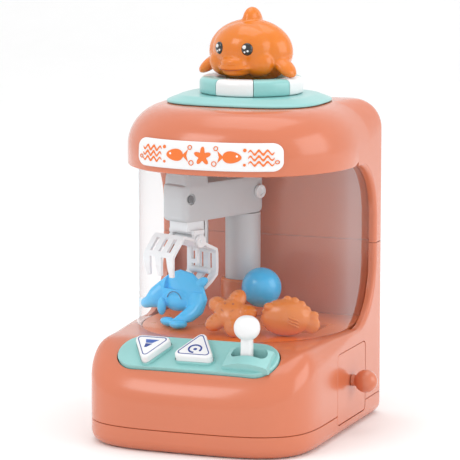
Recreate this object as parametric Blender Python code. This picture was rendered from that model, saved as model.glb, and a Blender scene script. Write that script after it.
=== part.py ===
"""Toy claw crane machine: cabinet, crane, controls, prize drawer and prizes, one object per piece."""
import math
import bmesh
import bpy
import numpy as np
from mathutils import Vector

# ---- driving dimensions (millimetres; X right, Y back, Z up, origin under the middle) ----
HALF_W, BACK_Y, CORNER_R = 70.0, 80.0, 8.0
BASE_Y0, BASE_B, BASE_N = -23.7, 56.0, 3.54      # front curve of the base
HOOD_Y0, HOOD_B, HOOD_N = 29.5, 74.7, 2.31       # front curve of the canopy
SEAM_Z, MID_Z, GAP = 13.7, 107.5, 0.3
FOOT_Z, CANOPY_Z, TOP_Z, CANOPY_R = 60.5, 158.7, 195.0, 25.0
WALL, SIDE_WALL, BACK_WALL = 2.5, 4.5, 7.0
SLOPE_A, SLOPE_B = (-74.0, 45.0), (-46.0, 60.8)  # control slope, (y, z)
COL = (-13.3, 55.0)                              # crane column axis
ARM_DIR = (-0.3746, -0.9272)
HINGE_S, HINGE_Z = 50.0, 112.0
JAW_OPEN = math.radians(40)
DRAWER_Y, DRAWER_Z = (-7.4, 45.1), (7.6, 50.9)
PINION_TEETH, PITCH_R = 16, 8.0
STICK_XY, STICK_PIVOT_Z, FORK_Z = (32.6, -60.0), 46.0, 24.0
LID_C, LID_A, LID_B, LID_N = (0.0, 31.0), 47.8, 40.0, 3.0
RING_C, RING_R_OUT, RING_R_IN, RING_Z = (0.0, 34.2), 31.4, 21.0, (200.2, 210.0)
FACE_TURN = -9.0
LIP_LOW = ((29.5, 59.7), (41.0, 62.9), (52.5, 70.6), (59.0, 80.7), (62.7, 91.5), (63.0, 107.35))
LIP_HIGH = ((30.0, 157.6), (48.0, 150.6), (58.0, 142.8), (61.7, 134.0), (63.0, 125.0), (63.2, 107.65))

COLOURS = {
    "coral": ((0.76, 0.22, 0.12), 0.35, 0.0), "teal": ((0.20, 0.55, 0.50), 0.35, 0.0),
    "white": ((0.88, 0.88, 0.87), 0.35, 0.0), "orange": ((0.76, 0.20, 0.03), 0.32, 0.0),
    "blue": ((0.07, 0.42, 0.76), 0.32, 0.0), "grey": ((0.47, 0.48, 0.50), 0.4, 0.0),
    "light_grey": ((0.66, 0.67, 0.69), 0.4, 0.0), "floor_orange": ((0.68, 0.20, 0.10), 0.45, 0.0),
    "steel": ((0.55, 0.55, 0.56), 0.3, 1.0), "black": ((0.02, 0.02, 0.02), 0.25, 0.0),
    "clear": ((0.92, 0.95, 0.97), 0.05, 0.0), "acetal": ((0.80, 0.80, 0.76), 0.5, 0.0),
}


# ---- mesh helpers ----
def material(name):
    mat = bpy.data.materials.get(name)
    if mat is None:
        colour, rough, metal = COLOURS[name]
        mat = bpy.data.materials.new(name)
        mat.use_nodes = True
        bsdf = mat.node_tree.nodes["Principled BSDF"]
        bsdf.inputs["Base Color"].default_value = (*colour, 1.0)
        bsdf.inputs["Roughness"].default_value = rough
        bsdf.inputs["Metallic"].default_value = metal
        mat.diffuse_color = (*colour, 1.0)
    return mat


def make(name, shape, mat, origin=(0.0, 0.0, 0.0)):
    """Object from (vertices, faces) in millimetres, with its origin moved to a joint point."""
    verts, faces = shape
    off = Vector(origin)
    mesh = bpy.data.meshes.new(name)
    mesh.from_pydata([(Vector(v) - off) * 0.001 for v in verts], [], faces)
    bm = bmesh.new()
    bm.from_mesh(mesh)
    bmesh.ops.remove_doubles(bm, verts=bm.verts, dist=1e-6)
    bmesh.ops.recalc_face_normals(bm, faces=bm.faces)
    bmesh.ops.triangulate(bm, faces=bm.faces)
    bm.to_mesh(mesh)
    bm.free()
    obj = bpy.data.objects.new(name, mesh)
    obj.location = off * 0.001
    mesh.materials.append(material(mat))
    bpy.context.scene.collection.objects.link(obj)
    return obj


def combine(obj, shapes, operation):
    """Boolean the given shapes into obj one after another and keep the result as plain mesh."""
    for shape in shapes:
        tool = make("tool", shape, "grey")
        mod = obj.modifiers.new("b", "BOOLEAN")
        mod.operation, mod.solver, mod.object = operation, "EXACT", tool
        bpy.context.view_layer.update()
        graph = bpy.context.evaluated_depsgraph_get()
        mesh = bpy.data.meshes.new_from_object(obj.evaluated_get(graph))
        obj.modifiers.clear()
        old = obj.data
        obj.data = mesh
        bpy.data.meshes.remove(old)
        bpy.data.objects.remove(tool)
        bm = bmesh.new()
        bm.from_mesh(mesh)
        bmesh.ops.remove_doubles(bm, verts=bm.verts, dist=2e-6)
        bmesh.ops.dissolve_degenerate(bm, edges=bm.edges, dist=2e-6)
        bmesh.ops.triangulate(bm, faces=bm.faces)
        bm.to_mesh(mesh)
        bm.free()
        while len(mesh.materials) > 1:
            mesh.materials.pop(index=1)
    return obj


def cut(obj, *shapes):
    return combine(obj, shapes, "DIFFERENCE")


def fuse(obj, *shapes):
    return combine(obj, shapes, "UNION")


def loft(rings, cap_start=True, cap_end=True, closed=False):
    """Skin through rings of equal count; closed joins the last ring to the first."""
    n = len(rings[0])
    verts = [p for ring in rings for p in ring]
    faces = []
    spans = len(rings) if closed else len(rings) - 1
    for k in range(spans):
        a, b = k * n, ((k + 1) % len(rings)) * n
        faces += [(a + i, a + (i + 1) % n, b + (i + 1) % n, b + i) for i in range(n)]
    if not closed and cap_start:
        faces.append(tuple(range(n - 1, -1, -1)))
    if not closed and cap_end:
        faces.append(tuple((len(rings) - 1) * n + i for i in range(n)))
    return verts, faces


def moved(shape, fn):
    return [fn(*v) for v in shape[0]], shape[1]


def box(lo, hi):
    xs, ys, zs = zip(lo, hi)
    ring = [(xs[0], ys[0]), (xs[1], ys[0]), (xs[1], ys[1]), (xs[0], ys[1])]
    return loft([[(x, y, z) for x, y in ring] for z in zs])


def rounded_rect(w, h, r, seg=3):
    """Outline of a w by h rectangle with corner radius r, centred on 0."""
    pts = []
    for cx, cy, a0 in ((1, 1, 0), (-1, 1, 90), (-1, -1, 180), (1, -1, 270)):
        for k in range(seg + 1):
            a = math.radians(a0 + 90 * k / seg)
            pts.append((cx * (w / 2 - r) + r * math.cos(a), cy * (h / 2 - r) + r * math.sin(a)))
    return pts


def prism(outline, levels):
    """Stack of scaled copies of a 2-D outline; levels are (z, inset scale)."""
    return loft([[(x * s, y * s, z) for x, y in outline] for z, s in levels])


def circle(cx, cy, r, n):
    turns = [2 * math.pi * i / n for i in range(n)]
    return [(cx + r * math.cos(a), cy + r * math.sin(a)) for a in turns]


def lathe(profile, n=24, centre=(0.0, 0.0)):
    """Revolve a closed (r, z) loop; points at r = 0 close the ends."""
    solid = profile[0][0] == 0
    rings = [[(x, y, z) for x, y in circle(*centre, r, n)] for r, z in (profile[1:-1] if solid else profile)]
    return loft(rings, closed=not solid)


def rod(p, q, r, n=16, r2=None):
    """Cylinder or cone from p to q."""
    p, q = Vector(p), Vector(q)
    d = (q - p).normalized()
    u = d.orthogonal().normalized()
    v = d.cross(u)
    return loft([[tuple(c + (u * math.cos(t) + v * math.sin(t)) * rr)
                  for t in (2 * math.pi * i / n for i in range(n))]
                 for c, rr in ((p, r), (q, r if r2 is None else r2))])


def ellipsoid(c, radii, n=16, m=10, tilt=(0.0, 0.0, 0.0)):
    """Closed ellipsoid with small polar caps, turned by tilt degrees about X, Y and Z."""
    rot = np.eye(3)
    for axis, deg in enumerate(tilt):
        a, i, j = math.radians(deg), (axis + 1) % 3, (axis + 2) % 3
        step = np.eye(3)
        step[i, i] = step[j, j] = math.cos(a)
        step[i, j], step[j, i] = -math.sin(a), math.sin(a)
        rot = step @ rot
    rings = []
    for k in range(m + 1):
        lat = math.pi * ((k + 0.25) / (m + 0.5) - 0.5)
        ring = []
        for i in range(n):
            lon = 2 * math.pi * i / n
            p = np.array([radii[0] * math.cos(lat) * math.cos(lon), radii[1] * math.cos(lat) * math.sin(lon),
                          radii[2] * math.sin(lat)])
            ring.append(tuple(np.array(c) + rot @ p))
        rings.append(ring)
    return loft(rings)


def sheet(rows, on, thick):
    """Perforated sheet: rows[i][j] are points with normals, on[i][j] says which cells are solid."""
    verts, faces, nc = [], [], len(rows[0])
    for row in rows:
        for point, normal in row:
            verts.append(tuple(Vector(point) + Vector(normal) * thick / 2))
            verts.append(tuple(Vector(point) - Vector(normal) * thick / 2))
    live = {(i, j) for i, line in enumerate(on) for j, v in enumerate(line) if v}
    top = lambda i, j: 2 * (i * nc + j)
    for i, j in live:
        a, b, c, d = top(i, j), top(i, j + 1), top(i + 1, j + 1), top(i + 1, j)
        faces += [(a, b, c, d), (d + 1, c + 1, b + 1, a + 1)]
        edges = ((a, b, i - 1, j), (b, c, i, j + 1), (c, d, i + 1, j), (d, a, i, j - 1))
        for p, q, row, col in edges:
            if (row, col) not in live:
                faces.append((q, p, p + 1, q + 1))
    used = sorted({v for f in faces for v in f})
    index = {v: k for k, v in enumerate(used)}
    return [verts[v] for v in used], [tuple(index[v] for v in f) for f in faces]


# ---- plan curves ----
def super_xy(a, b, n, t, cx=0.0, cy=0.0):
    c, s = math.cos(t), math.sin(t)
    return cx + a * math.copysign(abs(c) ** (2 / n), c), cy + b * math.copysign(abs(s) ** (2 / n), s)


def plan(half, y0, b, n, back, r, stations, front=20):
    """Closed plan outline, left-right symmetric: curved front, straight sides, rounded back corners."""
    right = []
    for k in range(front // 2 + 1):
        t = math.pi / 2 * (1 - k / (front // 2))
        x, y = super_xy(half, b, n, t)
        right.append((max(x, 0.0) if k else 0.0, y0 - abs(y)))
    right += [(half, y) for y in stations]
    for k in range(4):
        a = math.radians(90 * k / 3)
        right.append((half - r + r * math.cos(a), back - r + r * math.sin(a)))
    right += [(44.0, back), (30.0, back), (14.0, back)]
    left = [(-x, y) for x, y in reversed(right[1:])]
    return right + [(0.0, back)] + left


def toward(p, centre, a, b, n):
    """Point on a superellipse straight between its centre and p."""
    dx, dy = p[0] - centre[0], p[1] - centre[1]
    t = (abs(dx / a) ** n + abs(dy / b) ** n) ** (-1 / n)
    return centre[0] + dx * t, centre[1] + dy * t


def lerp(p, q, u):
    return tuple(a + (b - a) * u for a, b in zip(p, q))


def slope_z(y):
    k = (SLOPE_B[1] - SLOPE_A[1]) / (SLOPE_B[0] - SLOPE_A[0])
    return min(FOOT_Z, SLOPE_A[1] + (y - SLOPE_A[0]) * k)


def curve_z(table, y):
    return float(np.interp(y, [p[0] for p in table], [p[1] for p in table]))


def drop(d, r):
    return r - math.sqrt(max(r * r - (r - d) ** 2, 0.0)) if d < r else 0.0


def foot_xy(p, inset):
    """Window foot line for an outline point, inset from the canopy curve."""
    if p[1] >= HOOD_Y0:
        y = min(p[1], 80.0 - (BACK_WALL if inset > 3 else 0.5))
        return math.copysign(min(abs(p[0]), HALF_W - inset), p[0]), y
    return toward(p, (0.0, HOOD_Y0), HALF_W - inset, HOOD_B - inset, HOOD_N)


SIDE_Y = (-10.0, 8.0, 29.5, 41.0, 52.5, 59.0, 62.7, 63.2)
BASE_PLAN = plan(HALF_W, BASE_Y0, BASE_B, BASE_N, BACK_Y, CORNER_R, SIDE_Y)
CANOPY_PLAN = plan(HALF_W, HOOD_Y0, HOOD_B, HOOD_N, BACK_Y, CORNER_R, (40.0, 48.0, 58.0, 61.7, 63.0, 63.4))


def inset_plan(outline, d):
    """Move an outline inwards by d along its local normals."""
    out, n = [], len(outline)
    for i, (x, y) in enumerate(outline):
        (ax, ay), (bx, by) = outline[i - 1], outline[(i + 1) % n]
        tx, ty = bx - ax, by - ay
        length = math.hypot(tx, ty)
        out.append((x - ty / length * d, y + tx / length * d))
    return out


def sweep_profiles(profiles):
    """Closed tube shell: one closed profile per outline point, joined all the way round."""
    return loft([[tuple(p) for p in profile] for profile in profiles], closed=True)


def base_tray():
    outer = [(6.8, 0.0), (3.6, 0.9), (0.9, 3.6), (0.0, 7.4), (0.0, SEAM_Z - GAP / 2)]
    inner = [(WALL, SEAM_Z - GAP / 2), (WALL, 8.0), (4.4, 4.4), (7.2, 2.8)]
    rings = [[(x, y, z) for x, y in inset_plan(BASE_PLAN, d)] for d, z in outer + inner]
    return loft(rings)


def lower_housing():
    profiles = []
    inner_wall = inset_plan(BASE_PLAN, WALL)
    for p, w in zip(BASE_PLAN, inner_wall):
        f1, f2 = foot_xy(p, 1.2), foot_xy(p, SIDE_WALL + 3.0)
        z0 = SEAM_Z + GAP / 2
        if p[1] < 29.4:
            radius = float(np.interp(p[1], (-30.0, 0.0, 29.5), (14.0, 5.0, 2.5)))
            span = math.dist(p, f1)
            pts = []
            for k in range(6):
                d = radius * (1 - math.cos(math.pi / 2 * k / 5)) if k < 5 else max(radius, span)
                u = min(d / max(span, 0.01), 1.0)
                x, y = lerp(p, f1, u)
                pts.append((x, y, slope_z(y) - drop(min(d, radius) if u < 1 else span, radius)))
            top = pts + [(f2[0], f2[1], FOOT_Z)]
            under = [(f2[0], f2[1], FOOT_Z - 3.4)]
            for (x, y, z), u in zip(reversed(pts[1:]), (0.0, 0.0, 0.15, 0.4, 0.8)):
                x2, y2 = lerp((x, y), w, u * 0.8)
                under.append((x2, y2, min(z - 3.0, FOOT_Z - 3.4)))
            low_in = (w[0], w[1], pts[0][2] - 2.0)
            profiles.append([(p[0], p[1], z0)] + top + under + [low_in, (w[0], w[1], z0)])
            continue
        h = curve_z(LIP_LOW, p[1])
        edge = foot_xy(p, SIDE_WALL)
        if p[1] > BACK_Y - CORNER_R:
            edge = (math.copysign(min(abs(p[0]), HALF_W - SIDE_WALL), p[0]), BACK_Y - BACK_WALL)
        steps = [lerp(p, edge, k / 5) for k in range(6)]
        top = [(x, y, h) for x, y in steps] + [(edge[0], edge[1], h - 0.4)]
        under = [(edge[0], edge[1], FOOT_Z - 3.4)]
        under += [(*lerp(edge, w, k / 5), FOOT_Z - 3.4 - 0.4 * k) for k in range(1, 6)]
        profiles.append([(p[0], p[1], z0)] + top + under + [(w[0], w[1], 50.0), (w[0], w[1], z0)])
    return sweep_profiles(profiles)


def canopy_radius(p):
    return float(np.interp(p[1], (50.0, 80.0), (CANOPY_R, 17.0)))


def upper_housing():
    profiles = []
    for p in CANOPY_PLAN:
        hole = toward(p, LID_C, LID_A * 0.86, LID_B * 0.86, LID_N)
        back = p[1] > BACK_Y - CORNER_R
        z0 = CANOPY_Z if p[1] < 30 else curve_z(LIP_HIGH, p[1])
        radius = canopy_radius(p)
        edge = (math.copysign(min(abs(p[0]), HALF_W - SIDE_WALL), p[0]), BACK_Y - BACK_WALL) if back else None
        if edge is None:
            thick = SIDE_WALL if p[1] > 29.4 else 3.0
            edge = foot_xy(p, thick)
        span = math.dist(p, hole)
        outer = [(p[0], p[1], z0), (p[0], p[1], max(TOP_Z - radius, z0 + 0.5))]
        for k in range(1, 7):
            a = math.pi / 2 * k / 6
            d = radius * (1 - math.cos(a))
            x, y = lerp(p, hole, min(d / span, 0.97))
            outer.append((x, y, TOP_Z - radius + radius * math.sin(a)))
        outer += [(*hole, TOP_Z), (*hole, TOP_Z - 3.0)]
        inner = []
        for k in range(6, 0, -1):
            a = math.pi / 2 * k / 6
            d = (radius - 3.0) * (1 - math.cos(a))
            x, y = lerp(edge, hole, min(d / span, 0.93))
            inner.append((x, y, TOP_Z - radius + (radius - 3.0) * math.sin(a)))
        inner += [(*edge, max(TOP_Z - radius, z0 + 0.5)), (*edge, z0)]
        profiles.append(outer + inner)
    return sweep_profiles(profiles)


def window_curve(inset):
    pts = [(HALF_W - inset, y) for y in (62.4, 52.0, 41.0)]
    for k in range(21):
        x, y = super_xy(HALF_W - inset, HOOD_B - inset, HOOD_N, math.pi * k / 20)
        pts.append((x, HOOD_Y0 - abs(y)))
    return pts + [(-(HALF_W - inset), y) for y in (41.0, 52.0, 62.4)]


def window_cover():
    outline = window_curve(4.9) + window_curve(6.4)[::-1]
    return loft([[(x, y, z) for x, y in outline] for z in (FOOT_Z + GAP, 161.0)])


def play_floor():
    pts = window_curve(8.0)
    pts = [(x, 72.6 if y > 62 else y) for x, y in pts]
    return loft([[(x, y, z) for x, y in pts] for z in (57.4, 60.0)])


def build_cabinet():
    tray = make("base_tray", base_tray(), "coral")
    drawer_hole = box((64.0, DRAWER_Y[0], DRAWER_Z[0]), (75.0, DRAWER_Y[1], DRAWER_Z[1]))
    cut(tray, drawer_hole)
    for k, (x, y) in enumerate(((-52, -48), (52, -48), (-52, 64), (52, 64)), 1):
        fuse(tray, rod((x, y, 1.5), (x, y, 12.0), 5.0))
        cut(tray, rod((x, y, -1.0), (x, y, 2.6), 3.9), rod((x, y, -1.0), (x, y, 11.0), 1.75, 12))
        shank = [(0, 0), (3.5, 0.5), (3.5, 2.3), (1.5, 2.3), (1.5, 10.5), (0, 0)]
        screw = make(f"base_screw_{k}", lathe(shank, 16, (x, y)), "steel")
        cut(screw, *[box((x - a, y - b, 0), (x + a, y + b, 1.3)) for a, b in ((2.2, 0.4), (0.4, 2.2))])
    for y in (2.0, 36.0):
        fuse(tray, box((20.0, y, 1.5), (60.0, y + 2.0, 9.2)))

    house = make("lower_housing", lower_housing(), "coral")
    cut(house, drawer_hole, moved(extrude(panel_outline(0.6), [(-20, 1), (12, 1)]), panel_point))
    make("upper_housing", upper_housing(), "coral")
    make("window_cover", window_cover(), "clear")

    floor = make("play_floor", play_floor(), "floor_orange")
    cut(floor, box((17, 6, 50), (51, 40, 70)), rod((*COL, 50), (*COL, 70), 11.4, 24))
    for x, y in ((-44, -18), (44, -18), (-55, 51), (55, 51)):
        fuse(floor, rod((x, y, 2.9), (x, y, 58.0), 3.0, 12))
    chute = make("prize_chute", box((17.3, 6.3, 51.2), (50.7, 39.7, 59.8)), "floor_orange")
    cut(chute, box((19.0, 8.0, 50), (49.0, 38.0, 61)))
    sleeve = [(11.4, 60.3), (13.75, 60.3), (13.75, 82.0), (12.9, 83.0), (11.4, 83.0)]
    make("column_sleeve", lathe(sleeve, 28, COL), "orange")
    plate = make("bearing_plate", box((-46, 20, 14.0), (13, 70, 16.5)), "acetal")
    cut(plate, rod((*COL, 10), (*COL, 20), 4.08, 24))
    for x, y in ((-40, 26), (8, 26), (-40, 66), (8, 66)):
        fuse(plate, rod((x, y, 2.9), (x, y, 15.0), 3.0, 12))


def panel_point(u, v, w):
    """Control-slope frame: u right, v up the slope, w out of the face."""
    cy, cz = -60.0, SLOPE_A[1] + (14.0) * (SLOPE_B[1] - SLOPE_A[1]) / (SLOPE_B[0] - SLOPE_A[0])
    k = math.dist(SLOPE_A, SLOPE_B)
    vy, vz = (SLOPE_B[0] - SLOPE_A[0]) / k, (SLOPE_B[1] - SLOPE_A[1]) / k
    return u, cy + v * vy - w * vz, cz + v * vz + w * vy


def triangle(centre, size, turn, r=3.0, seg=3):
    """Rounded triangle outline, circumradius size, first corner at turn degrees."""
    pts = []
    for k in range(3):
        a = math.radians(turn + 120 * k)
        cx, cy = centre[0] + (size - 2 * r) * math.cos(a), centre[1] + (size - 2 * r) * math.sin(a)
        for j in range(seg + 1):
            b = a + math.radians(-60 + 120 * j / seg)
            pts.append((cx + r * math.cos(b), cy + r * math.sin(b)))
    return pts


BUTTONS = {"raise": ((-27.4, 3.0), 15.0, -90.0), "grab": ((1.5, 2.5), 16.0, 90.0)}
PANEL_C, PANEL_W, PANEL_H = (1.2, 3.3), 99.6, 27.6


def panel_outline(grow):
    w, h = PANEL_W + 2 * grow, PANEL_H + 2 * grow
    return [(x + PANEL_C[0], y + PANEL_C[1]) for x, y in rounded_rect(w, h, h / 2 - 0.2, 6)]


def extrude(outline, levels):
    """Prism from a 2-D outline around its own middle; levels are (w, scale)."""
    cx = sum(p[0] for p in outline) / len(outline)
    cy = sum(p[1] for p in outline) / len(outline)
    return loft([[(cx + (x - cx) * s, cy + (y - cy) * s, w) for x, y in outline] for w, s in levels])


def build_controls():
    face = extrude(panel_outline(0.0), [(-4.0, 1), (0.8, 1), (1.6, 0.985)])
    panel = make("control_panel", moved(face, panel_point), "teal")
    for centre, size, turn in BUTTONS.values():
        collar = extrude(triangle(centre, size + 1.6, turn, 4.0), [(0, 1), (3.0, 1), (3.6, 0.96)])
        fuse(panel, moved(collar, panel_point))
    gu, half, arch = STICK_XY[0] + 1.5, 13.5, []
    for k in range(9):
        x = half - 2 * half * k / 8
        arch.append((gu + x, 4.2 + 2.9 * (1 - (x / half) ** 2)))
    outline = [(gu - half - 1.0, 0.0), (gu + half + 1.0, 0.0)] + arch
    fuse(panel, moved(loft([[(x, y, w) for x, w in outline] for y in (-8.0, 7.5)]), panel_point))
    for centre, size, turn in BUTTONS.values():
        cut(panel, moved(extrude(triangle(centre, size + 0.4, turn), [(-8, 1), (8, 1)]), panel_point))
    gx, gy = STICK_XY
    slot = [(gx + 1.5 + x, gy + y) for x, y in rounded_rect(22.0, 8.0, 3.8, 4)]
    cut(panel, loft([[(x, y, z) for x, y in slot] for z in (38.0, 80.0)]))
    for y in (gy - 6.4, gy + 4.2):
        fuse(panel, box((gx - 4.6, y, 41.5), (gx + 4.6, y + 2.2, slope_z(y) - 1.5)))
    pin = (gx, gy - 7.0, STICK_PIVOT_Z), (gx, gy + 7.0, STICK_PIVOT_Z)
    cut(panel, rod(*pin, 1.56))
    make("joystick_pin", rod((gx, gy - 6.2, STICK_PIVOT_Z), (gx, gy + 6.2, STICK_PIVOT_Z), 1.5), "steel")

    guide = make("button_guide", moved(box((-46, -8, -16.5), (13, 8, -14.5)), panel_point), "acetal")
    for centre, _, _ in BUTTONS.values():
        cut(guide, moved(rod((*centre, -20), (*centre, -10), 2.6), panel_point))
    for name, (centre, size, turn) in BUTTONS.items():
        outline = triangle(centre, size, turn)
        cap = moved(extrude(outline, [(-2.0, 1), (6.4, 1), (7.4, 0.96), (7.8, 0.88)]), panel_point)
        button = make(f"{name}_button", cap, "white")
        fuse(button, moved(rod((*centre, -18), (*centre, -1), 2.5), panel_point))
        turns, steps, r, wire = 4, 32, 4.4, 0.5
        rings = []
        for k in range(steps + 1):
            a = 2 * math.pi * turns * k / steps
            c = Vector((centre[0] + r * math.cos(a), centre[1] + r * math.sin(a), -13.6 + 10.8 * k / steps))
            out = Vector((math.cos(a), math.sin(a), 0))
            rings.append([tuple(c + out * wire * math.cos(b) + Vector((0, 0, wire * math.sin(b))))
                          for b in (2 * math.pi * j / 4 for j in range(4))])
        make(f"{name}_button_spring", moved(loft(rings), panel_point), "steel")

    x, y = STICK_XY
    hub = rod((x, y - 3.6, STICK_PIVOT_Z), (x, y + 3.6, STICK_PIVOT_Z), 4.0, 20)
    stick = make("joystick_stick", hub, "white", (x, y, STICK_PIVOT_Z))
    for shape in (moved(prism(rounded_rect(7.3, 5.6, 1.5), [(STICK_PIVOT_Z + 2, 1), (68.5, 0.92)]),
                        lambda a, b, c: (a + x, b + y, c)),
                  rod((x, y, FORK_Z + 0.5), (x, y, STICK_PIVOT_Z - 3), 1.1, 12),
                  ellipsoid((x, y, FORK_Z), (2.1, 2.1, 2.1), 8, 5)):
        fuse(stick, shape)
    cut(stick, rod((x, y - 8, STICK_PIVOT_Z), (x, y + 8, STICK_PIVOT_Z), 1.56))
    knob = ellipsoid((x, y, 74.2), (7.7, 7.7, 7.3), 14, 8)
    knob = make("joystick_ball", knob, "white", (x, y, STICK_PIVOT_Z))
    cut(knob, box((x - 4.0, y - 3.2, 60), (x + 4.0, y + 3.2, 68.9)))


def arm_frame(s, t, z):
    return (COL[0] + s * ARM_DIR[0] - t * ARM_DIR[1], COL[1] + s * ARM_DIR[1] + t * ARM_DIR[0], z)


def claw_frame(s, t, z):
    return arm_frame(HINGE_S + s, t, HINGE_Z + z)


def build_crane():
    origin = (*COL, 0.0)
    tube = [(0, 0), (4.0, 14.2), (4.0, 28.0), (10.9, 28.0), (10.9, 123.7), (8.9, 123.7), (8.9, 31.0), (0, 0)]
    make("column_tube", lathe(tube, 24, COL), "grey", origin)
    teeth = []
    for k in range(PINION_TEETH * 4):
        a = 2 * math.pi * (k + 0.5) / (PINION_TEETH * 4) + math.pi / PINION_TEETH + math.pi / 2
        r = PITCH_R + (0.8 if k % 4 in (0, 3) else -1.15)
        wide = (0.018, -0.018)[k % 2] * (1 if k % 4 in (1, 2) else -1)
        teeth.append((COL[0] + r * math.cos(a + wide), COL[1] + r * math.sin(a + wide)))
    wheel = loft([[(x, y, z) for x, y in teeth] for z in (20.0, 26.0)])
    pinion = make("pinion_gear", wheel, "acetal", origin)
    cut(pinion, rod((*COL, 10), (*COL, 30), 4.3, 24))

    outline = [(x + 26.5, y) for x, y in rounded_rect(71.0, 20.7, 4.5, 3)]
    levels = [(124.0, 0.94), (125.2, 0.985), (127.0, 1.0), (143.5, 1.0), (145.6, 0.985), (146.5, 0.95)]
    arm = make("arm_housing", moved(extrude(outline, levels), arm_frame), "grey", origin)
    tower = loft([[arm_frame(HINGE_S + x * k, y * k, z) for x, y in rounded_rect(20.4, 20.4, 3.0)]
                  for z, k in ((145.0, 1.0), (150.0, 0.96), (159.5, 0.8), (160.5, 0.74))])
    fuse(arm, tower)
    cut(arm, moved(box((HINGE_S - 7.6, -7.6, 120), (HINGE_S + 7.6, 7.6, 157)), arm_frame),
        moved(rod((34.0, 0, 120), (34.0, 0, 145), 2.3, 12), arm_frame),
        moved(rod((56.5, 12.0, 138), (56.5, 9.0, 138), 3.5, 20), arm_frame),
        moved(box((-6, -7.5, 120), (28, 7.5, 143.5)), arm_frame))
    disc = moved(rod((-3, 10.6, 137), (-3, 12.6, 137), 4.2, 20), arm_frame)
    boss = make("arm_boss", disc, "light_grey", origin)
    cut(boss, moved(rod((-3, 11.4, 137), (-3, 13.6, 137), 2.6, 16), arm_frame))
    make("arm_screw", moved(rod((56.5, 9.2, 138), (56.5, 9.9, 138), 2.4, 16), arm_frame), "steel", origin)

    hang = make("hanger_tube", moved(box((-7.25, -7.25, 6.0), (7.25, 7.25, 36.0)), claw_frame), "light_grey",
                claw_frame(0, 0, 0))
    fuse(hang, moved(box((-4.4, -10.5, 4.3), (4.4, 10.5, 6.65)), claw_frame))
    fuse(hang, moved(box((-7.2, -3.6, -15.0), (-5.6, 3.6, 6.65)), claw_frame),
         moved(box((-6.4, -3.2, 4.6), (-3.5, 3.2, 6.3)), claw_frame))
    cut(hang, moved(box((-9.0, -1.7, -12.6), (-5.0, 1.7, -1.0)), claw_frame))
    turns = [math.radians(d) for d in range(200, 341, 20)]
    round_end = [(4.0 * math.cos(a), 4.0 * math.sin(a)) for a in turns]
    strap = [(-4.0, 5.5), (-4.0, 0.0), *round_end, (4.0, 0.0), (4.0, 5.5)]
    for t in (-10.2, 8.0):
        fuse(hang, moved(loft([[(x, t + w, z) for x, z in strap] for w in (0.0, 2.2)]), claw_frame))
    cut(hang, moved(rod((0, -14, 0), (0, 14, 0), 1.26, 16), claw_frame),
        moved(box((-5.4, -5.4, 8.5), (5.4, 5.4, 40)), claw_frame))
    make("guide_rod", moved(rod((-16.0, 0, -4.2), (-16.0, 0, 24.5), 2.0, 12), claw_frame), "steel",
         claw_frame(0, 0, 0))
    pin = moved(rod((0, -13.0, 0), (0, 13.0, 0), 1.2, 16), claw_frame)
    make("jaw_pin", pin, "steel", claw_frame(0, 0, 0))
    build_jaw("rear_jaw", -1, 0.0, "light_grey")
    build_jaw("front_jaw", 1, JAW_OPEN, "light_grey")


def build_jaw(name, side, swing, mat):
    """Claw jaw bent from sheet, with an open back and three tines; swing opens it outwards."""
    path = [(0.0, 0.0), (5.2, -2.6), (13.6, -6.4), (13.9, -9.0), (14.0, -18.4), (13.6, -21.6), (9.2, -25.8),
            (4.8, -29.4)]
    cols = [-12.3, -10.6, -8.4, -6.8, -5.6, -2.6, -1.4, 1.4, 2.6, 5.6, 6.8, 8.4, 10.6, 12.3]
    arm = [1] + [0] * 11 + [1] if side < 0 else [0, 0, 0, 1, 1, 1, 1, 1, 1, 1, 0, 0, 0]
    bars = [1, 1, 0, 0, 1, 1, 0, 1, 1, 0, 0, 1, 1]
    tines = [1, 1, 1, 0, 0, 1, 1, 1, 0, 0, 1, 1, 1]
    shoulder = [1, 1, 1] + [0] * 7 + [1, 1, 1] if side < 0 else [1] * 13
    on = [arm, shoulder, [1] * 13, bars, [1] * 13, tines, tines]

    def place(s, t, z):
        c, n = math.cos(swing), math.sin(swing)
        s, z = s * c - z * n, s * n + z * c
        return claw_frame(side * s, t, z)

    rows = []
    for i, (s, z) in enumerate(path):
        (ps, pz), (qs, qz) = path[max(i - 1, 0)], path[min(i + 1, len(path) - 1)]
        length = math.hypot(qs - ps, qz - pz)
        ns, nz = -(qz - pz) / length, (qs - ps) / length
        base = Vector(place(0, 0, 0))
        normal = Vector(place(ns, 0, nz)) - base
        taper = (1.0, 0.8, 0.45)[max(0, i - 5)] if i >= 5 else 1.0
        row = []
        for t in cols:
            mid = min((-9.45, 0.0, 9.45), key=lambda m: abs(m - t))
            tt = mid + (t - mid) * taper if i > 5 else t
            row.append((place(s, tt, z), tuple(normal)))
        rows.append(row)
    jaw = make(name, sheet(rows, on, 1.8), mat, claw_frame(0, 0, 0))
    spans = ((-12.3, -10.6), (10.6, 12.3)) if side < 0 else ((-7.6, 7.6),)
    for lo, hi in spans:
        fuse(jaw, moved(rod((0, lo, 0), (0, hi, 0), 3.8, 20), claw_frame))
    if side < 0:
        fuse(jaw, moved(rod((-12.0, -8.0, -20.0), (-12.0, 8.0, -20.0), 1.8, 12), claw_frame))
    cut(jaw, moved(rod((0, -14, 0), (0, 14, 0), 1.26, 16), claw_frame))
    return jaw


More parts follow.
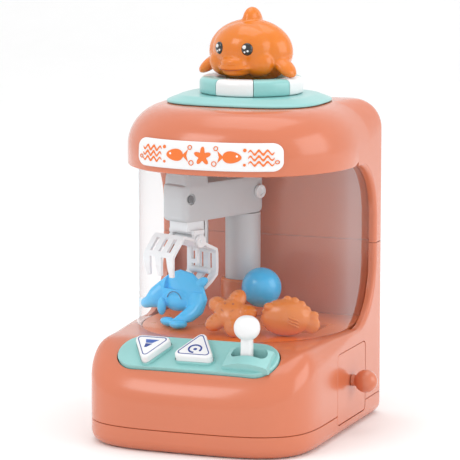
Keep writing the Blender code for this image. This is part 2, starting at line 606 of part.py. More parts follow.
def build_rack():
    pitch = math.pi * PITCH_R * 2 / PINION_TEETH
    y0 = COL[1] + PITCH_R
    pts, x = [], COL[0] - 4.5 * pitch
    pts.append((x - 2.0, y0 + 1.05))
    for k in range(12):
        c = COL[0] + (k - 4) * pitch
        pts += [(c - 0.95, y0 + 1.05), (c - 0.42, y0 - 0.85), (c + 0.42, y0 - 0.85), (c + 0.95, y0 + 1.05)]
    end = 13.0
    pts = [p for p in pts if p[0] < end - 1.0]
    pts += [(end, y0 + 1.05), (end, y0 + 5.0), (x - 2.0, y0 + 5.0)]
    rack = make("steering_rack", loft([[(px, py, z) for px, py in pts] for z in (20.0, 26.0)]), "acetal")
    fx, fy = STICK_XY
    fuse(rack, box((9.0, fy - 2.0, 20.2), (13.0, y0 + 2.0, 25.8)),
         box((9.5, fy - 5.0, 20.0), (fx + 5.5, fy + 5.0, 26.0)))
    cut(rack, box((fx - 2.35, fy - 3.2, 18), (fx + 2.35, fy + 3.2, 28)))


def build_drawer():
    (y0, y1), (z0, z1) = DRAWER_Y, DRAWER_Z
    front = rounded_rect(y1 - y0 - 0.8, z1 - z0 - 0.8, 3.4)
    cy, cz = (y0 + y1) / 2, (z0 + z1) / 2
    face = loft([[(x, cy + a, cz + b) for a, b in front] for x in (66.6, 70.0)])
    drawer = make("drawer_box", face, "coral")
    fuse(drawer, box((15.5, y0 + 2.4, 9.5), (67.0, y1 - 2.4, 44.0)))
    cut(drawer, box((17.3, y0 + 4.2, 11.3), (65.0, y1 - 4.2, 60.0)), rod((60, cy, 31), (75, cy, 31), 1.8, 12))
    knob = [(3.6, 70.3), (3.2, 72.6)]
    for d in range(-55, 86, 20):
        knob.append((7.0 * math.cos(math.radians(d)), 79.0 + 7.0 * math.sin(math.radians(d))))
    rings = [[(x, y, z) for y, z in circle(cy, 31, r, 20)] for r, x in knob]
    knob = make("drawer_knob", loft(rings), "coral")
    cut(knob, rod((69, cy, 31), (76, cy, 31), 1.3, 12))
    screw = make("knob_screw", rod((64.0, cy, 31), (75.0, cy, 31), 1.2, 12), "steel")
    fuse(screw, rod((62.9, cy, 31), (64.6, cy, 31), 3.0, 16))


def build_lid():
    levels = ((0.84, 191.5), (0.84, 195.3), (1.0, 195.3), (1.0, 196.2), (0.93, 197.9), (0.87, 198.9),
              (0.79, 199.9))
    rings = [[(*super_xy(LID_A * k, LID_B * k, LID_N, 2 * math.pi * i / 40, *LID_C), z) for i in range(40)]
             for k, z in levels]
    make("lid_plate", loft(rings), "teal")
    lo, hi = RING_Z
    profile = [(RING_R_IN, lo), (RING_R_OUT - 1.5, lo), (RING_R_OUT, lo + 2.0), (RING_R_OUT, hi - 3.0),
               (RING_R_OUT - 1.2, hi - 0.8), (RING_R_OUT - 3.4, hi), (RING_R_IN + 2, hi),
               (RING_R_IN, hi - 1.5)]
    for k in range(8):
        a0 = -90 - 22.5 + 45 * k
        rings = []
        for j in range(6):
            a = math.radians(a0 + 0.35 + (45 - 0.7) * j / 5)
            rings.append([(RING_C[0] + r * math.cos(a), RING_C[1] + r * math.sin(a), z) for r, z in profile])
        make(f"ring_segment_{k + 1}", loft(rings), "white" if k % 2 == 0 else "teal")
    cx, cy = RING_C[0] - 2.4, RING_C[1]
    turn = math.radians(FACE_TURN)

    def facing(p, q, z):
        """Figure frame: p to its left, q out of the back of its head."""
        return cx + p * math.cos(turn) - q * math.sin(turn), cy + p * math.sin(turn) + q * math.cos(turn), z

    body = make("lid_dolphin", ellipsoid((cx + 1, cy + 3, 224.5), (26.0, 18.5, 19.5), 16, 10), "orange")
    fins = []
    for side in (-1, 1):
        fin = ellipsoid((side * 25.5, 0.0, 216.5), (9.0, 6.4, 3.6), 12, 6, (0, side * 38, side * -14))
        fins.append(moved(fin, facing))
    fuse(body, moved(ellipsoid((0, -15.5, 217.6), (10.4, 9.0, 5.8), 14, 7), facing),
         moved(ellipsoid((0, -2, 226.5), (20.5, 18.0, 16.0), 14, 8), facing),
         moved(ellipsoid((0, 6, 242.0), (5.2, 8.0, 9.2), 10, 6, (-22, 0, 0)), facing), *fins,
         moved(ellipsoid((7.5, 27, 221), (8.0, 4.6, 2.4), 8, 5, (0, 0, 35)), facing),
         moved(ellipsoid((-7.5, 27, 221), (8.0, 4.6, 2.4), 8, 5, (0, 0, -35)), facing),
         moved(ellipsoid((0, 20, 220), (6.0, 10.0, 7.0), 8, 5), facing))
    cut(body, box((-50, -40, 190), (50, 110, 206.3)),
        lathe([(20.6, 190), (70, 190), (70, 210.35), (20.6, 210.35)], 24, RING_C))
    for name, side in (("left", -1), ("right", 1)):
        bead = ellipsoid((side * 10.6, -17.0, 227.6), (3.2, 1.6, 3.5), 12, 6, (0, 0, side * 22))
        eye = make(f"lid_dolphin_eye_{name}", moved(bead, facing), "black")
        cut(eye, moved(ellipsoid((0, -2, 226.5), (20.8, 18.3, 16.3), 14, 8), facing),
            ellipsoid((cx + 1, cy + 3, 224.5), (26.4, 18.9, 19.9), 16, 10))


def build_sign():
    rows, on, steps = [], [], 20
    for k in range(steps + 1):
        x = -44.5 + 89.0 * k / steps
        edge = max(0.0, abs(x) - 39.0)
        half = 2.8 + math.sqrt(max(5.5 ** 2 - edge ** 2, 0.0))
        row = []
        for j in range(4):
            z = 170.7 - half + 2 * half * j / 3
            inset = CANOPY_R - math.sqrt(CANOPY_R ** 2 - max(z - 170.0, 0.0) ** 2)
            y = HOOD_Y0 - HOOD_B * (1 - abs(x / HALF_W) ** HOOD_N) ** (1 / HOOD_N)
            gx = (HOOD_N / HALF_W) * abs(x / HALF_W) ** (HOOD_N - 1) * (1 if x > 0 else -1)
            gy = -(HOOD_N / HOOD_B) * abs((y - HOOD_Y0) / HOOD_B) ** (HOOD_N - 1)
            normal = Vector((gx, gy, max(z - 170.0, 0.0) / CANOPY_R * 0.035)).normalized()
            p = Vector((x, y, z)) + normal * (1.25 - inset)
            row.append((tuple(p), tuple(normal)))
        rows.append(row)
    make("sign_plate", sheet(rows, [[1, 1, 1]] * steps, 1.5), "white")


def build_prizes():
    make("prize_ball", ellipsoid((5.6, 37.0, 80.4), (12.2, 12.2, 12.2), 14, 10), "blue")

    def standing(s, t, z):
        return claw_frame(s, t, z - HINGE_Z)

    arch = moved(ellipsoid((0.2, -4.5, 81.0), (3.2, 17.5, 12.3), 16, 10), standing)
    toy = make("prize_dolphin", arch, "blue")
    lumps = (((4.2, -18.0, 76.0), (6.0, 8.8, 7.8), (-35, 0, 0)),     # head
             ((2.0, 8.0, 75.5), (5.6, 8.6, 10.0), (15, 0, 0)),       # back
             ((3.0, -5.0, 75.0), (5.4, 10.0, 7.0), (0, 0, 0)),       # belly
             ((7.2, -25.0, 71.2), (3.4, 4.6, 3.3), (0, 0, 0)),       # beak
             ((8.4, -13.0, 70.4), (2.2, 3.0, 5.2), (0, 0, 0)),       # flipper
             ((7.4, 7.4, 67.4), (6.4, 4.6, 5.4), (0, 0, 20)),        # tail root
             ((13.0, 4.5, 64.2), (4.4, 3.8, 3.2), (0, 0, 20)),       # tail
             ((14.6, -1.6, 63.4), (3.6, 6.6, 2.7), (0, 0, -10)),     # left fluke
             ((16.6, 8.6, 63.2), (3.8, 5.4, 2.6), (0, 0, 35)),       # right fluke
             ((0.2, 12.6, 87.2), (1.9, 5.4, 2.8), (-28, 0, 0)))      # back fin
    fuse(toy, *[moved(ellipsoid(c, radii, 10, 5, tilt), standing) for c, radii, tilt in lumps])
    for r0, r1 in ((30.0, 46.9), (53.4, 75.0)):
        cut(toy, lathe([(r0, 81.0), (r1, 81.0), (r1, 110.0), (r0, 110.0)], 40, COL))

    def leaning(p, q, w):
        """Starfish plane: p to the right, q up its lean, w out of its face."""
        return 4.0 + p, -12.5 + q * 0.66 - w * 0.75, 72.6 + q * 0.75 + w * 0.66

    star = make("prize_starfish", moved(ellipsoid((0, 0, 0.5), (9.4, 9.4, 5.2), 12, 7), leaning), "orange")
    for k in range(5):
        a = 78 + 72 * k
        c = (9.3 * math.cos(math.radians(a)), 9.3 * math.sin(math.radians(a)), 0.0)
        fuse(star, moved(ellipsoid(c, (7.4, 5.2, 4.1), 8, 5, (0, 0, a)), leaning))

    def swimming(p, q, w):
        """Fish frame: p to the tail, q across, w up."""
        c, n = math.cos(math.radians(10)), math.sin(math.radians(10))
        return 37.0 + p * c - q * n, -6.5 + p * n + q * c, 71.4 + w

    fish = make("prize_fish", moved(ellipsoid((0, 0, 0), (15.0, 8.6, 11.0), 14, 8), swimming), "orange")
    fuse(fish, moved(ellipsoid((15.8, 0, -4.0), (4.6, 2.2, 5.4), 8, 5, (0, -25, 0)), swimming),
         moved(ellipsoid((6.5, 0, 8.5), (7.5, 2.0, 3.4), 8, 5, (0, 25, 0)), swimming))


def main():
    for obj in list(bpy.data.objects):
        bpy.data.objects.remove(obj, do_unlink=True)
    build_cabinet()
    build_controls()
    build_crane()
    build_rack()
    build_drawer()
    build_lid()
    build_sign()
    build_prizes()


main()
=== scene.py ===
"""Looks for the toy claw crane machine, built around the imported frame."""
import math
import bmesh
import bpy
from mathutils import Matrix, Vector


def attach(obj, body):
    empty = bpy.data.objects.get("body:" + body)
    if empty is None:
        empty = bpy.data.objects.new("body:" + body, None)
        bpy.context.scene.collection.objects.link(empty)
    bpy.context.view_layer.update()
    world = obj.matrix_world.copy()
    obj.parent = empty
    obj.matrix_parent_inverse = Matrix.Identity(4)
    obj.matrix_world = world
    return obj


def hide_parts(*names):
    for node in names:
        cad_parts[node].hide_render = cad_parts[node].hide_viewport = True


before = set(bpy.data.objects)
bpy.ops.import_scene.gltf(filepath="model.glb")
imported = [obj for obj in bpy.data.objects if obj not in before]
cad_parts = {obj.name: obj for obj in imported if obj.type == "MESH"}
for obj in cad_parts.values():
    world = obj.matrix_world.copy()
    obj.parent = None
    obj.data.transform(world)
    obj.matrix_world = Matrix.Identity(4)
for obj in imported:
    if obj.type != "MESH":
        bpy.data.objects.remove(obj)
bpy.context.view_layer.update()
MM = 0.001

# ---- dimensions shared with the CAD, in millimetres ----
HALF_W, BACK_Y, CORNER_R = 70.0, 80.0, 8.0
BASE_Y0, BASE_B, BASE_N = -23.7, 56.0, 3.54
HOOD_Y0, HOOD_B, HOOD_N = 29.5, 74.7, 2.31
SEAM_Z, MID_Z, GAP = 13.7, 107.5, 0.3
FOOT_Z, CANOPY_Z, TOP_Z, CANOPY_R = 60.5, 158.7, 195.0, 25.0
WALL, SIDE_WALL, BACK_WALL = 2.5, 4.5, 7.0
SLOPE_A, SLOPE_B = (-74.0, 45.0), (-46.0, 60.8)
COL, ARM_DIR, HINGE_S, HINGE_Z = (-13.3, 55.0), (-0.3746, -0.9272), 50.0, 112.0
LID_C, LID_A, LID_B, LID_N = (0.0, 31.0), 47.8, 40.0, 3.0
RING_C, FACE_TURN = (0.0, 34.2), -9.0
LIP_R = 2.4

# ---- studio, in metres ----
CAMERA_AT, CAMERA_AIM, LENS = (0.6159, -1.6151, 0.3884), (-0.35252, 0.92321, -0.15301), 229.46
LAMP_AIM, WORLD_STRENGTH = (0, 0, 0.1), 0.98


# ---- materials ----
def nodes_of(name):
    mat = bpy.data.materials.new(name)
    mat.use_nodes = True
    return mat, mat.node_tree.nodes, mat.node_tree.links, mat.node_tree.nodes["Principled BSDF"]


def plastic(name, colour, rough=0.3, vary=0.05, bump=0.12, grain=900.0, coat=0.0, sss=0.0, metallic=0.0):
    """Moulded plastic: faint flow clouds in the colour, uneven polish and a fine moulded grain."""
    mat, nodes, links, bsdf = nodes_of(name)
    coords = nodes.new("ShaderNodeTexCoord")
    flow = nodes.new("ShaderNodeTexNoise")
    flow.inputs["Scale"].default_value = 22.0
    flow.inputs["Detail"].default_value = 4.0
    links.new(coords.outputs["Object"], flow.inputs["Vector"])
    ramp = nodes.new("ShaderNodeValToRGB")
    ramp.color_ramp.elements[0].position, ramp.color_ramp.elements[1].position = 0.3, 0.7
    ramp.color_ramp.elements[0].color = (*[max(c * (1 - vary), 0) for c in colour], 1)
    ramp.color_ramp.elements[1].color = (*[min(c * (1 + vary), 1) for c in colour], 1)
    links.new(flow.outputs["Fac"], ramp.inputs["Fac"])
    links.new(ramp.outputs["Color"], bsdf.inputs["Base Color"])
    polish = nodes.new("ShaderNodeTexNoise")
    polish.inputs["Scale"].default_value = 70.0
    polish.inputs["Detail"].default_value = 3.0
    links.new(coords.outputs["Object"], polish.inputs["Vector"])
    span = nodes.new("ShaderNodeMapRange")
    span.inputs["To Min"].default_value = max(rough - 0.06, 0.03)
    span.inputs["To Max"].default_value = rough + 0.06
    links.new(polish.outputs["Fac"], span.inputs["Value"])
    links.new(span.outputs["Result"], bsdf.inputs["Roughness"])
    fine = nodes.new("ShaderNodeTexNoise")
    fine.inputs["Scale"].default_value = grain
    fine.inputs["Detail"].default_value = 2.0
    links.new(coords.outputs["Object"], fine.inputs["Vector"])
    relief = nodes.new("ShaderNodeBump")
    relief.inputs["Strength"].default_value = bump
    relief.inputs["Distance"].default_value = 0.00012
    links.new(fine.outputs["Fac"], relief.inputs["Height"])
    links.new(relief.outputs["Normal"], bsdf.inputs["Normal"])
    bsdf.inputs["Metallic"].default_value = metallic
    bsdf.inputs["Coat Weight"].default_value = coat
    bsdf.inputs["Coat Roughness"].default_value = 0.12
    if sss:
        bsdf.inputs["Subsurface Weight"].default_value = sss
        bsdf.inputs["Subsurface Radius"].default_value = (1.0, 0.5, 0.35)
        bsdf.inputs["Subsurface Scale"].default_value = 0.003
    return mat


def clear_plastic():
    mat, nodes, links, bsdf = nodes_of("clear_window")
    edge = nodes.new("ShaderNodeLayerWeight")
    edge.inputs["Blend"].default_value = 0.28
    tint = nodes.new("ShaderNodeValToRGB")
    tint.color_ramp.elements[0].position, tint.color_ramp.elements[1].position = 0.72, 1.0
    tint.color_ramp.elements[0].color = (0.996, 0.998, 1.0, 1)
    tint.color_ramp.elements[1].color = (0.66, 0.73, 0.78, 1)
    links.new(edge.outputs["Facing"], tint.inputs["Fac"])
    through = nodes.new("ShaderNodeBsdfTransparent")
    links.new(tint.outputs["Color"], through.inputs["Color"])
    haze = nodes.new("ShaderNodeTexNoise")
    haze.inputs["Scale"].default_value = 60.0
    span = nodes.new("ShaderNodeMapRange")
    span.inputs["To Min"].default_value, span.inputs["To Max"].default_value = 0.02, 0.07
    links.new(haze.outputs["Fac"], span.inputs["Value"])
    bsdf.inputs["Base Color"].default_value = (0.96, 0.98, 1.0, 1)
    links.new(span.outputs["Result"], bsdf.inputs["Roughness"])
    bsdf.inputs["Transmission Weight"].default_value = 0.0
    fres = nodes.new("ShaderNodeFresnel")
    fres.inputs["IOR"].default_value = 1.56
    mix = nodes.new("ShaderNodeMixShader")
    side = nodes.new("ShaderNodeNewGeometry")
    front = nodes.new("ShaderNodeMath")
    front.operation = "SUBTRACT"
    front.inputs[0].default_value = 1.0
    links.new(side.outputs["Backfacing"], front.inputs[1])
    only = nodes.new("ShaderNodeMath")
    only.operation = "MULTIPLY"
    links.new(fres.outputs["Fac"], only.inputs[0])
    links.new(front.outputs["Value"], only.inputs[1])
    links.new(only.outputs["Value"], mix.inputs["Fac"])
    links.new(through.outputs["BSDF"], mix.inputs[1])
    gloss = nodes.new("ShaderNodeBsdfGlossy")
    gloss.inputs["Roughness"].default_value = 0.04
    gloss.inputs["Color"].default_value = (0.9, 0.93, 0.96, 1)
    links.new(gloss.outputs["BSDF"], mix.inputs[2])
    links.new(mix.outputs["Shader"], nodes["Material Output"].inputs["Surface"])
    return mat


def window_curve(inset, count=120):
    pts = [(HALF_W - inset, y) for y in (62.4, 55.0, 48.0, 41.0, 35.0)]
    pts += [(x, HOOD_Y0 - abs(y)) for x, y in
            (super_xy(HALF_W - inset, HOOD_B - inset, HOOD_N, math.pi * k / count) for k in range(count + 1))]
    return pts + [(-(HALF_W - inset), y) for y in (35.0, 41.0, 48.0, 55.0, 62.4)]


def build_window():
    """Clear cover: one curved sheet."""
    outline = window_curve(4.92) + window_curve(6.38)[::-1]
    add("window_cover_fine", loft([[(x, y, z) for x, y in outline] for z in (FOOT_Z + GAP, 110.0, 161.0)]),
        "window", "cabinet",
        50.0, ("window_cover",))


MAT = {
    "coral": plastic("coral_plastic", (0.600, 0.166, 0.078), 0.24, 0.015, 0.03, 1400.0, 0.35),
    "floor": plastic("floor_orange", (0.90, 0.215, 0.045), 0.3, 0.05, 0.2, 700.0),
    "teal": plastic("teal_plastic", (0.265, 0.555, 0.54), 0.3, 0.03, 0.08, 1000.0, 0.2),
    "white": plastic("white_plastic", (0.80, 0.805, 0.81), 0.3, 0.012, 0.06, 900.0, 0.2),
    "orange": plastic("orange_vinyl", (0.72, 0.190, 0.010), 0.2, 0.05, 0.05, 800.0, 0.15, 0.08),
    "orange_dark": plastic("orange_line", (0.40, 0.075, 0.010), 0.5, 0.04, 0.1, 800.0),
    "sleeve": plastic("orange_sleeve", (0.74, 0.17, 0.02), 0.3, 0.03, 0.1, 900.0, 0.2),
    "blue": plastic("blue_vinyl", (0.040, 0.52, 0.95), 0.2, 0.05, 0.12, 800.0, 0.15, 0.06),
    "blue_dark": plastic("blue_line", (0.025, 0.20, 0.40), 0.5, 0.04, 0.1, 800.0),
    "grey": plastic("grey_plastic", (0.56, 0.57, 0.585), 0.42, 0.03, 0.2, 900.0),
    "light": plastic("light_grey_plastic", (0.84, 0.85, 0.865), 0.4, 0.025, 0.18, 900.0),
    "navy": plastic("navy_print", (0.012, 0.045, 0.26), 0.4, 0.04, 0.05, 900.0),
    "icon": plastic("icon_blue_print", (0.05, 0.12, 0.42), 0.4, 0.04, 0.05, 900.0),
    "white_print": plastic("white_print", (0.9, 0.9, 0.9), 0.4, 0.01, 0.03, 900.0),
    "print": plastic("orange_print", (0.80, 0.17, 0.022), 0.4, 0.03, 0.05, 900.0),
    "black": plastic("eye_black", (0.008, 0.007, 0.007), 0.12, 0.3, 0.02, 600.0, 0.6),
    "acetal": plastic("acetal", (0.74, 0.74, 0.69), 0.5, 0.03, 0.15, 900.0),
    "screw_dark": plastic("arm_screw_dark", (0.13, 0.13, 0.135), 0.4, 0.08, 0.15, 500.0),
    "steel": plastic("zinc_steel", (0.55, 0.55, 0.56), 0.32, 0.08, 0.15, 500.0, 0.0, 0.0, 1.0),
    "window": clear_plastic(),
}


# ---- mesh helpers ----
def add(name, shape, mat, body, smooth=35.0, replaces=()):
    verts, faces = shape
    mesh = bpy.data.meshes.new(name)
    mesh.from_pydata([Vector(v) * MM for v in verts], [], faces)
    return finish_mesh(name, mesh, mat, body, smooth, replaces)


def finish_mesh(name, mesh, mat, body, smooth, replaces):
    bm = bmesh.new()
    bm.from_mesh(mesh)
    bmesh.ops.remove_doubles(bm, verts=bm.verts, dist=2e-6)
    bmesh.ops.recalc_face_normals(bm, faces=bm.faces)
    bm.to_mesh(mesh)
    bm.free()
    mesh.shade_smooth()
    mesh.set_sharp_from_angle(angle=math.radians(smooth))
    obj = bpy.data.objects.new(name, mesh)
    bpy.context.scene.collection.objects.link(obj)
    mesh.materials.clear()
    mesh.materials.append(MAT[mat] if isinstance(mat, str) else mat)
    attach(obj, body)
    if replaces:
        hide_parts(*replaces)
    return obj


def refine(node, mat, body, bevel=0.4, angle=38.0):
    """Finer stand-in for a CAD node: its faces merged, edges rounded, smooth shaded."""
    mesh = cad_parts[node].data.copy()
    bm = bmesh.new()
    bm.from_mesh(mesh)
    bmesh.ops.remove_doubles(bm, verts=bm.verts, dist=3e-6)
    bmesh.ops.dissolve_limit(bm, angle_limit=math.radians(0.8), verts=bm.verts, edges=bm.edges)
    if bevel:
        sharp = [e for e in bm.edges if len(e.link_faces) == 2 and e.calc_face_angle(0) > math.radians(angle)]
        bmesh.ops.bevel(bm, geom=sharp, offset=bevel * MM, segments=2, profile=0.5, affect="EDGES",
                        clamp_overlap=True)
    bm.to_mesh(mesh)
    bm.free()
    obj = finish_mesh(node + "_fine", mesh, mat, body, angle, (node,))
    obj.modifiers.new("flat_faces", "WEIGHTED_NORMAL").keep_sharp = True
    return obj


def loft(rings, closed=False, caps=True):
    n = len(rings[0])
    verts = [p for ring in rings for p in ring]
    faces = []
    for k in range(len(rings) if closed else len(rings) - 1):
        a, b = k * n, ((k + 1) % len(rings)) * n
        faces += [(a + i, a + (i + 1) % n, b + (i + 1) % n, b + i) for i in range(n)]
    if not closed and caps:
        faces += [tuple(range(n - 1, -1, -1)), tuple((len(rings) - 1) * n + i for i in range(n))]
    return verts, faces


def merge(*shapes):
    verts, faces = [], []
    for v, f in shapes:
        faces += [tuple(i + len(verts) for i in face) for face in f]
        verts += v
    return verts, faces


def moved(shape, fn):
    return [fn(*v) for v in shape[0]], shape[1]


def ball(c, radii, n=24, m=14, tilt=(0.0, 0.0, 0.0)):
    """Ellipsoid turned by tilt degrees about X, Y, then Z."""
    from mathutils import Euler
    rot = Euler([math.radians(a) for a in tilt], "XYZ").to_matrix()
    rings = []
    for k in range(m + 1):
        lat = math.pi * ((k + 0.12) / (m + 0.24) - 0.5)
        rings.append([tuple(Vector(c) + rot @ Vector((radii[0] * math.cos(lat) * math.cos(a),
                                                      radii[1] * math.cos(lat) * math.sin(a),
                                                      radii[2] * math.sin(lat))))
                      for a in (2 * math.pi * i / n for i in range(n))])
    return loft(rings)


def tube(path, r, n=8):
    """Round tube along points, radius r or a list of radii."""
    pts = [Vector(p) for p in path]
    rings, ref = [], Vector((0.13, 0.21, 0.97))
    for i, p in enumerate(pts):
        d = (pts[min(i + 1, len(pts) - 1)] - pts[max(i - 1, 0)]).normalized()
        u = (ref - d * ref.dot(d)).normalized()
        v = d.cross(u)
        rr = r[i] if isinstance(r, (list, tuple)) else r
        rings.append([tuple(p + (u * math.cos(a) + v * math.sin(a)) * rr)
                      for a in (2 * math.pi * j / n for j in range(n))])
    return loft(rings)


def blob(name, shapes, mat, body, voxel=0.7, rounds=6, replaces=(), factor=0.5):
    """Melts overlapping closed shapes into one smooth moulded figure."""
    verts, faces = merge(*shapes)
    mesh = bpy.data.meshes.new(name)
    mesh.from_pydata([Vector(v) * MM for v in verts], [], faces)
    obj = bpy.data.objects.new(name + "_raw", mesh)
    bpy.context.scene.collection.objects.link(obj)
    melt = obj.modifiers.new("melt", "REMESH")
    melt.mode, melt.voxel_size = "VOXEL", voxel * MM
    soft = obj.modifiers.new("soft", "SMOOTH")
    soft.iterations, soft.factor = rounds, factor
    bpy.context.view_layer.update()
    result = bpy.data.meshes.new_from_object(obj.evaluated_get(bpy.context.evaluated_depsgraph_get()))
    bpy.data.objects.remove(obj)
    return finish_mesh(name, result, mat, body, 60.0, replaces)


# ---- plan curves (as in the CAD, sampled finer) ----
def super_xy(a, b, n, t, cx=0.0, cy=0.0):
    c, s = math.cos(t), math.sin(t)
    return cx + a * math.copysign(abs(c) ** (2 / n), c), cy + b * math.copysign(abs(s) ** (2 / n), s)


def plan(half, y0, b, n, back, r, stations, front=72):
    right = []
    for k in range(front // 2 + 1):
        x, y = super_xy(half, b, n, math.pi / 2 * (1 - k / (front // 2)))
        right.append((max(x, 0.0) if k else 0.0, y0 - abs(y)))
    right += [(half, y) for y in stations]
    right += [(half - r + r * math.cos(a), back - r + r * math.sin(a)) for a in quarter(8)]
    right += [(x, back) for x in (50.0, 40.0, 30.0, 20.0, 10.0)]
    return right + [(0.0, back)] + [(-x, y) for x, y in reversed(right[1:])]


def toward(p, centre, a, b, n):
    dx, dy = p[0] - centre[0], p[1] - centre[1]
    t = (abs(dx / a) ** n + abs(dy / b) ** n) ** (-1 / n)
    return centre[0] + dx * t, centre[1] + dy * t


def quarter(n):
    """Angles of a quarter turn in n equal steps."""
    return [math.pi / 2 * k / n for k in range(n + 1)]


def lerp(p, q, u):
    return tuple(a + (b - a) * u for a, b in zip(p, q))


def ramp(x, x0, x1, y0, y1):
    return y0 + (y1 - y0) * min(max((x - x0) / (x1 - x0), 0.0), 1.0)


def slope_z(y):
    k = (SLOPE_B[1] - SLOPE_A[1]) / (SLOPE_B[0] - SLOPE_A[0])
    z = SLOPE_A[1] + (y - SLOPE_A[0]) * k
    d = FOOT_Z - z
    return FOOT_Z - 0.5 * (d + math.sqrt(d * d + 6.0)) if d < 30 else z


def drop(d, r):
    return r - math.sqrt(max(r * r - (r - d) ** 2, 0.0)) if d < r else 0.0


def inset_plan(outline, d):
    out, n = [], len(outline)
    for i, (x, y) in enumerate(outline):
        (ax, ay), (bx, by) = outline[i - 1], outline[(i + 1) % n]
        tx, ty = bx - ax, by - ay
        length = math.hypot(tx, ty)
        out.append((x - ty / length * d, y + tx / length * d))
    return out


def foot_xy(p, inset):
    if p[1] >= HOOD_Y0:
        y = min(p[1], 80.0 - (BACK_WALL if inset > 3 else 0.5))
        return math.copysign(min(abs(p[0]), HALF_W - inset), p[0]), y
    return toward(p, (0.0, HOOD_Y0), HALF_W - inset, HOOD_B - inset, HOOD_N)


def lip_low(y, grow=0.0):
    """Lower lip height at y; grow pushes the curve out of the opening."""
    u = (y - 29.5) / (33.5 + grow)
    return MID_Z - GAP / 2 if u >= 0.9999 else min(98.0 - (38.3 + grow) * math.sqrt(1 - max(u, 0.0) ** 2),
                                                   MID_Z - GAP / 2)


def lip_high(y, grow=0.0):
    u = (y - 29.5) / (33.7 + grow)
    return MID_Z + GAP / 2 if u >= 0.9999 else 125.0 + (33.7 + grow) * math.sqrt(1 - max(u, 0.0) ** 2)


SIDES = (-16.0, -8.0, 0.0, 8.0, 16.0, 22.0, 29.4) + tuple(30 + 1.5 * k for k in range(20)) + \
    (60.0, 61.2, 62.3, 63.2, 64.0, 64.7, 65.2, 65.6, 65.85, 65.95, 68.0)
BASE_PLAN = plan(HALF_W, BASE_Y0, BASE_B, BASE_N, BACK_Y, CORNER_R, SIDES)
UP_SIDES = tuple(30 + 1.5 * k for k in range(20)) + (60.0, 61.2, 62.3, 63.2, 64.0, 64.7, 65.2, 65.6, 65.85,
                                                     66.05, 66.15, 68.0)
CANOPY_PLAN = plan(HALF_W, HOOD_Y0, HOOD_B, HOOD_N, BACK_Y, CORNER_R, UP_SIDES)


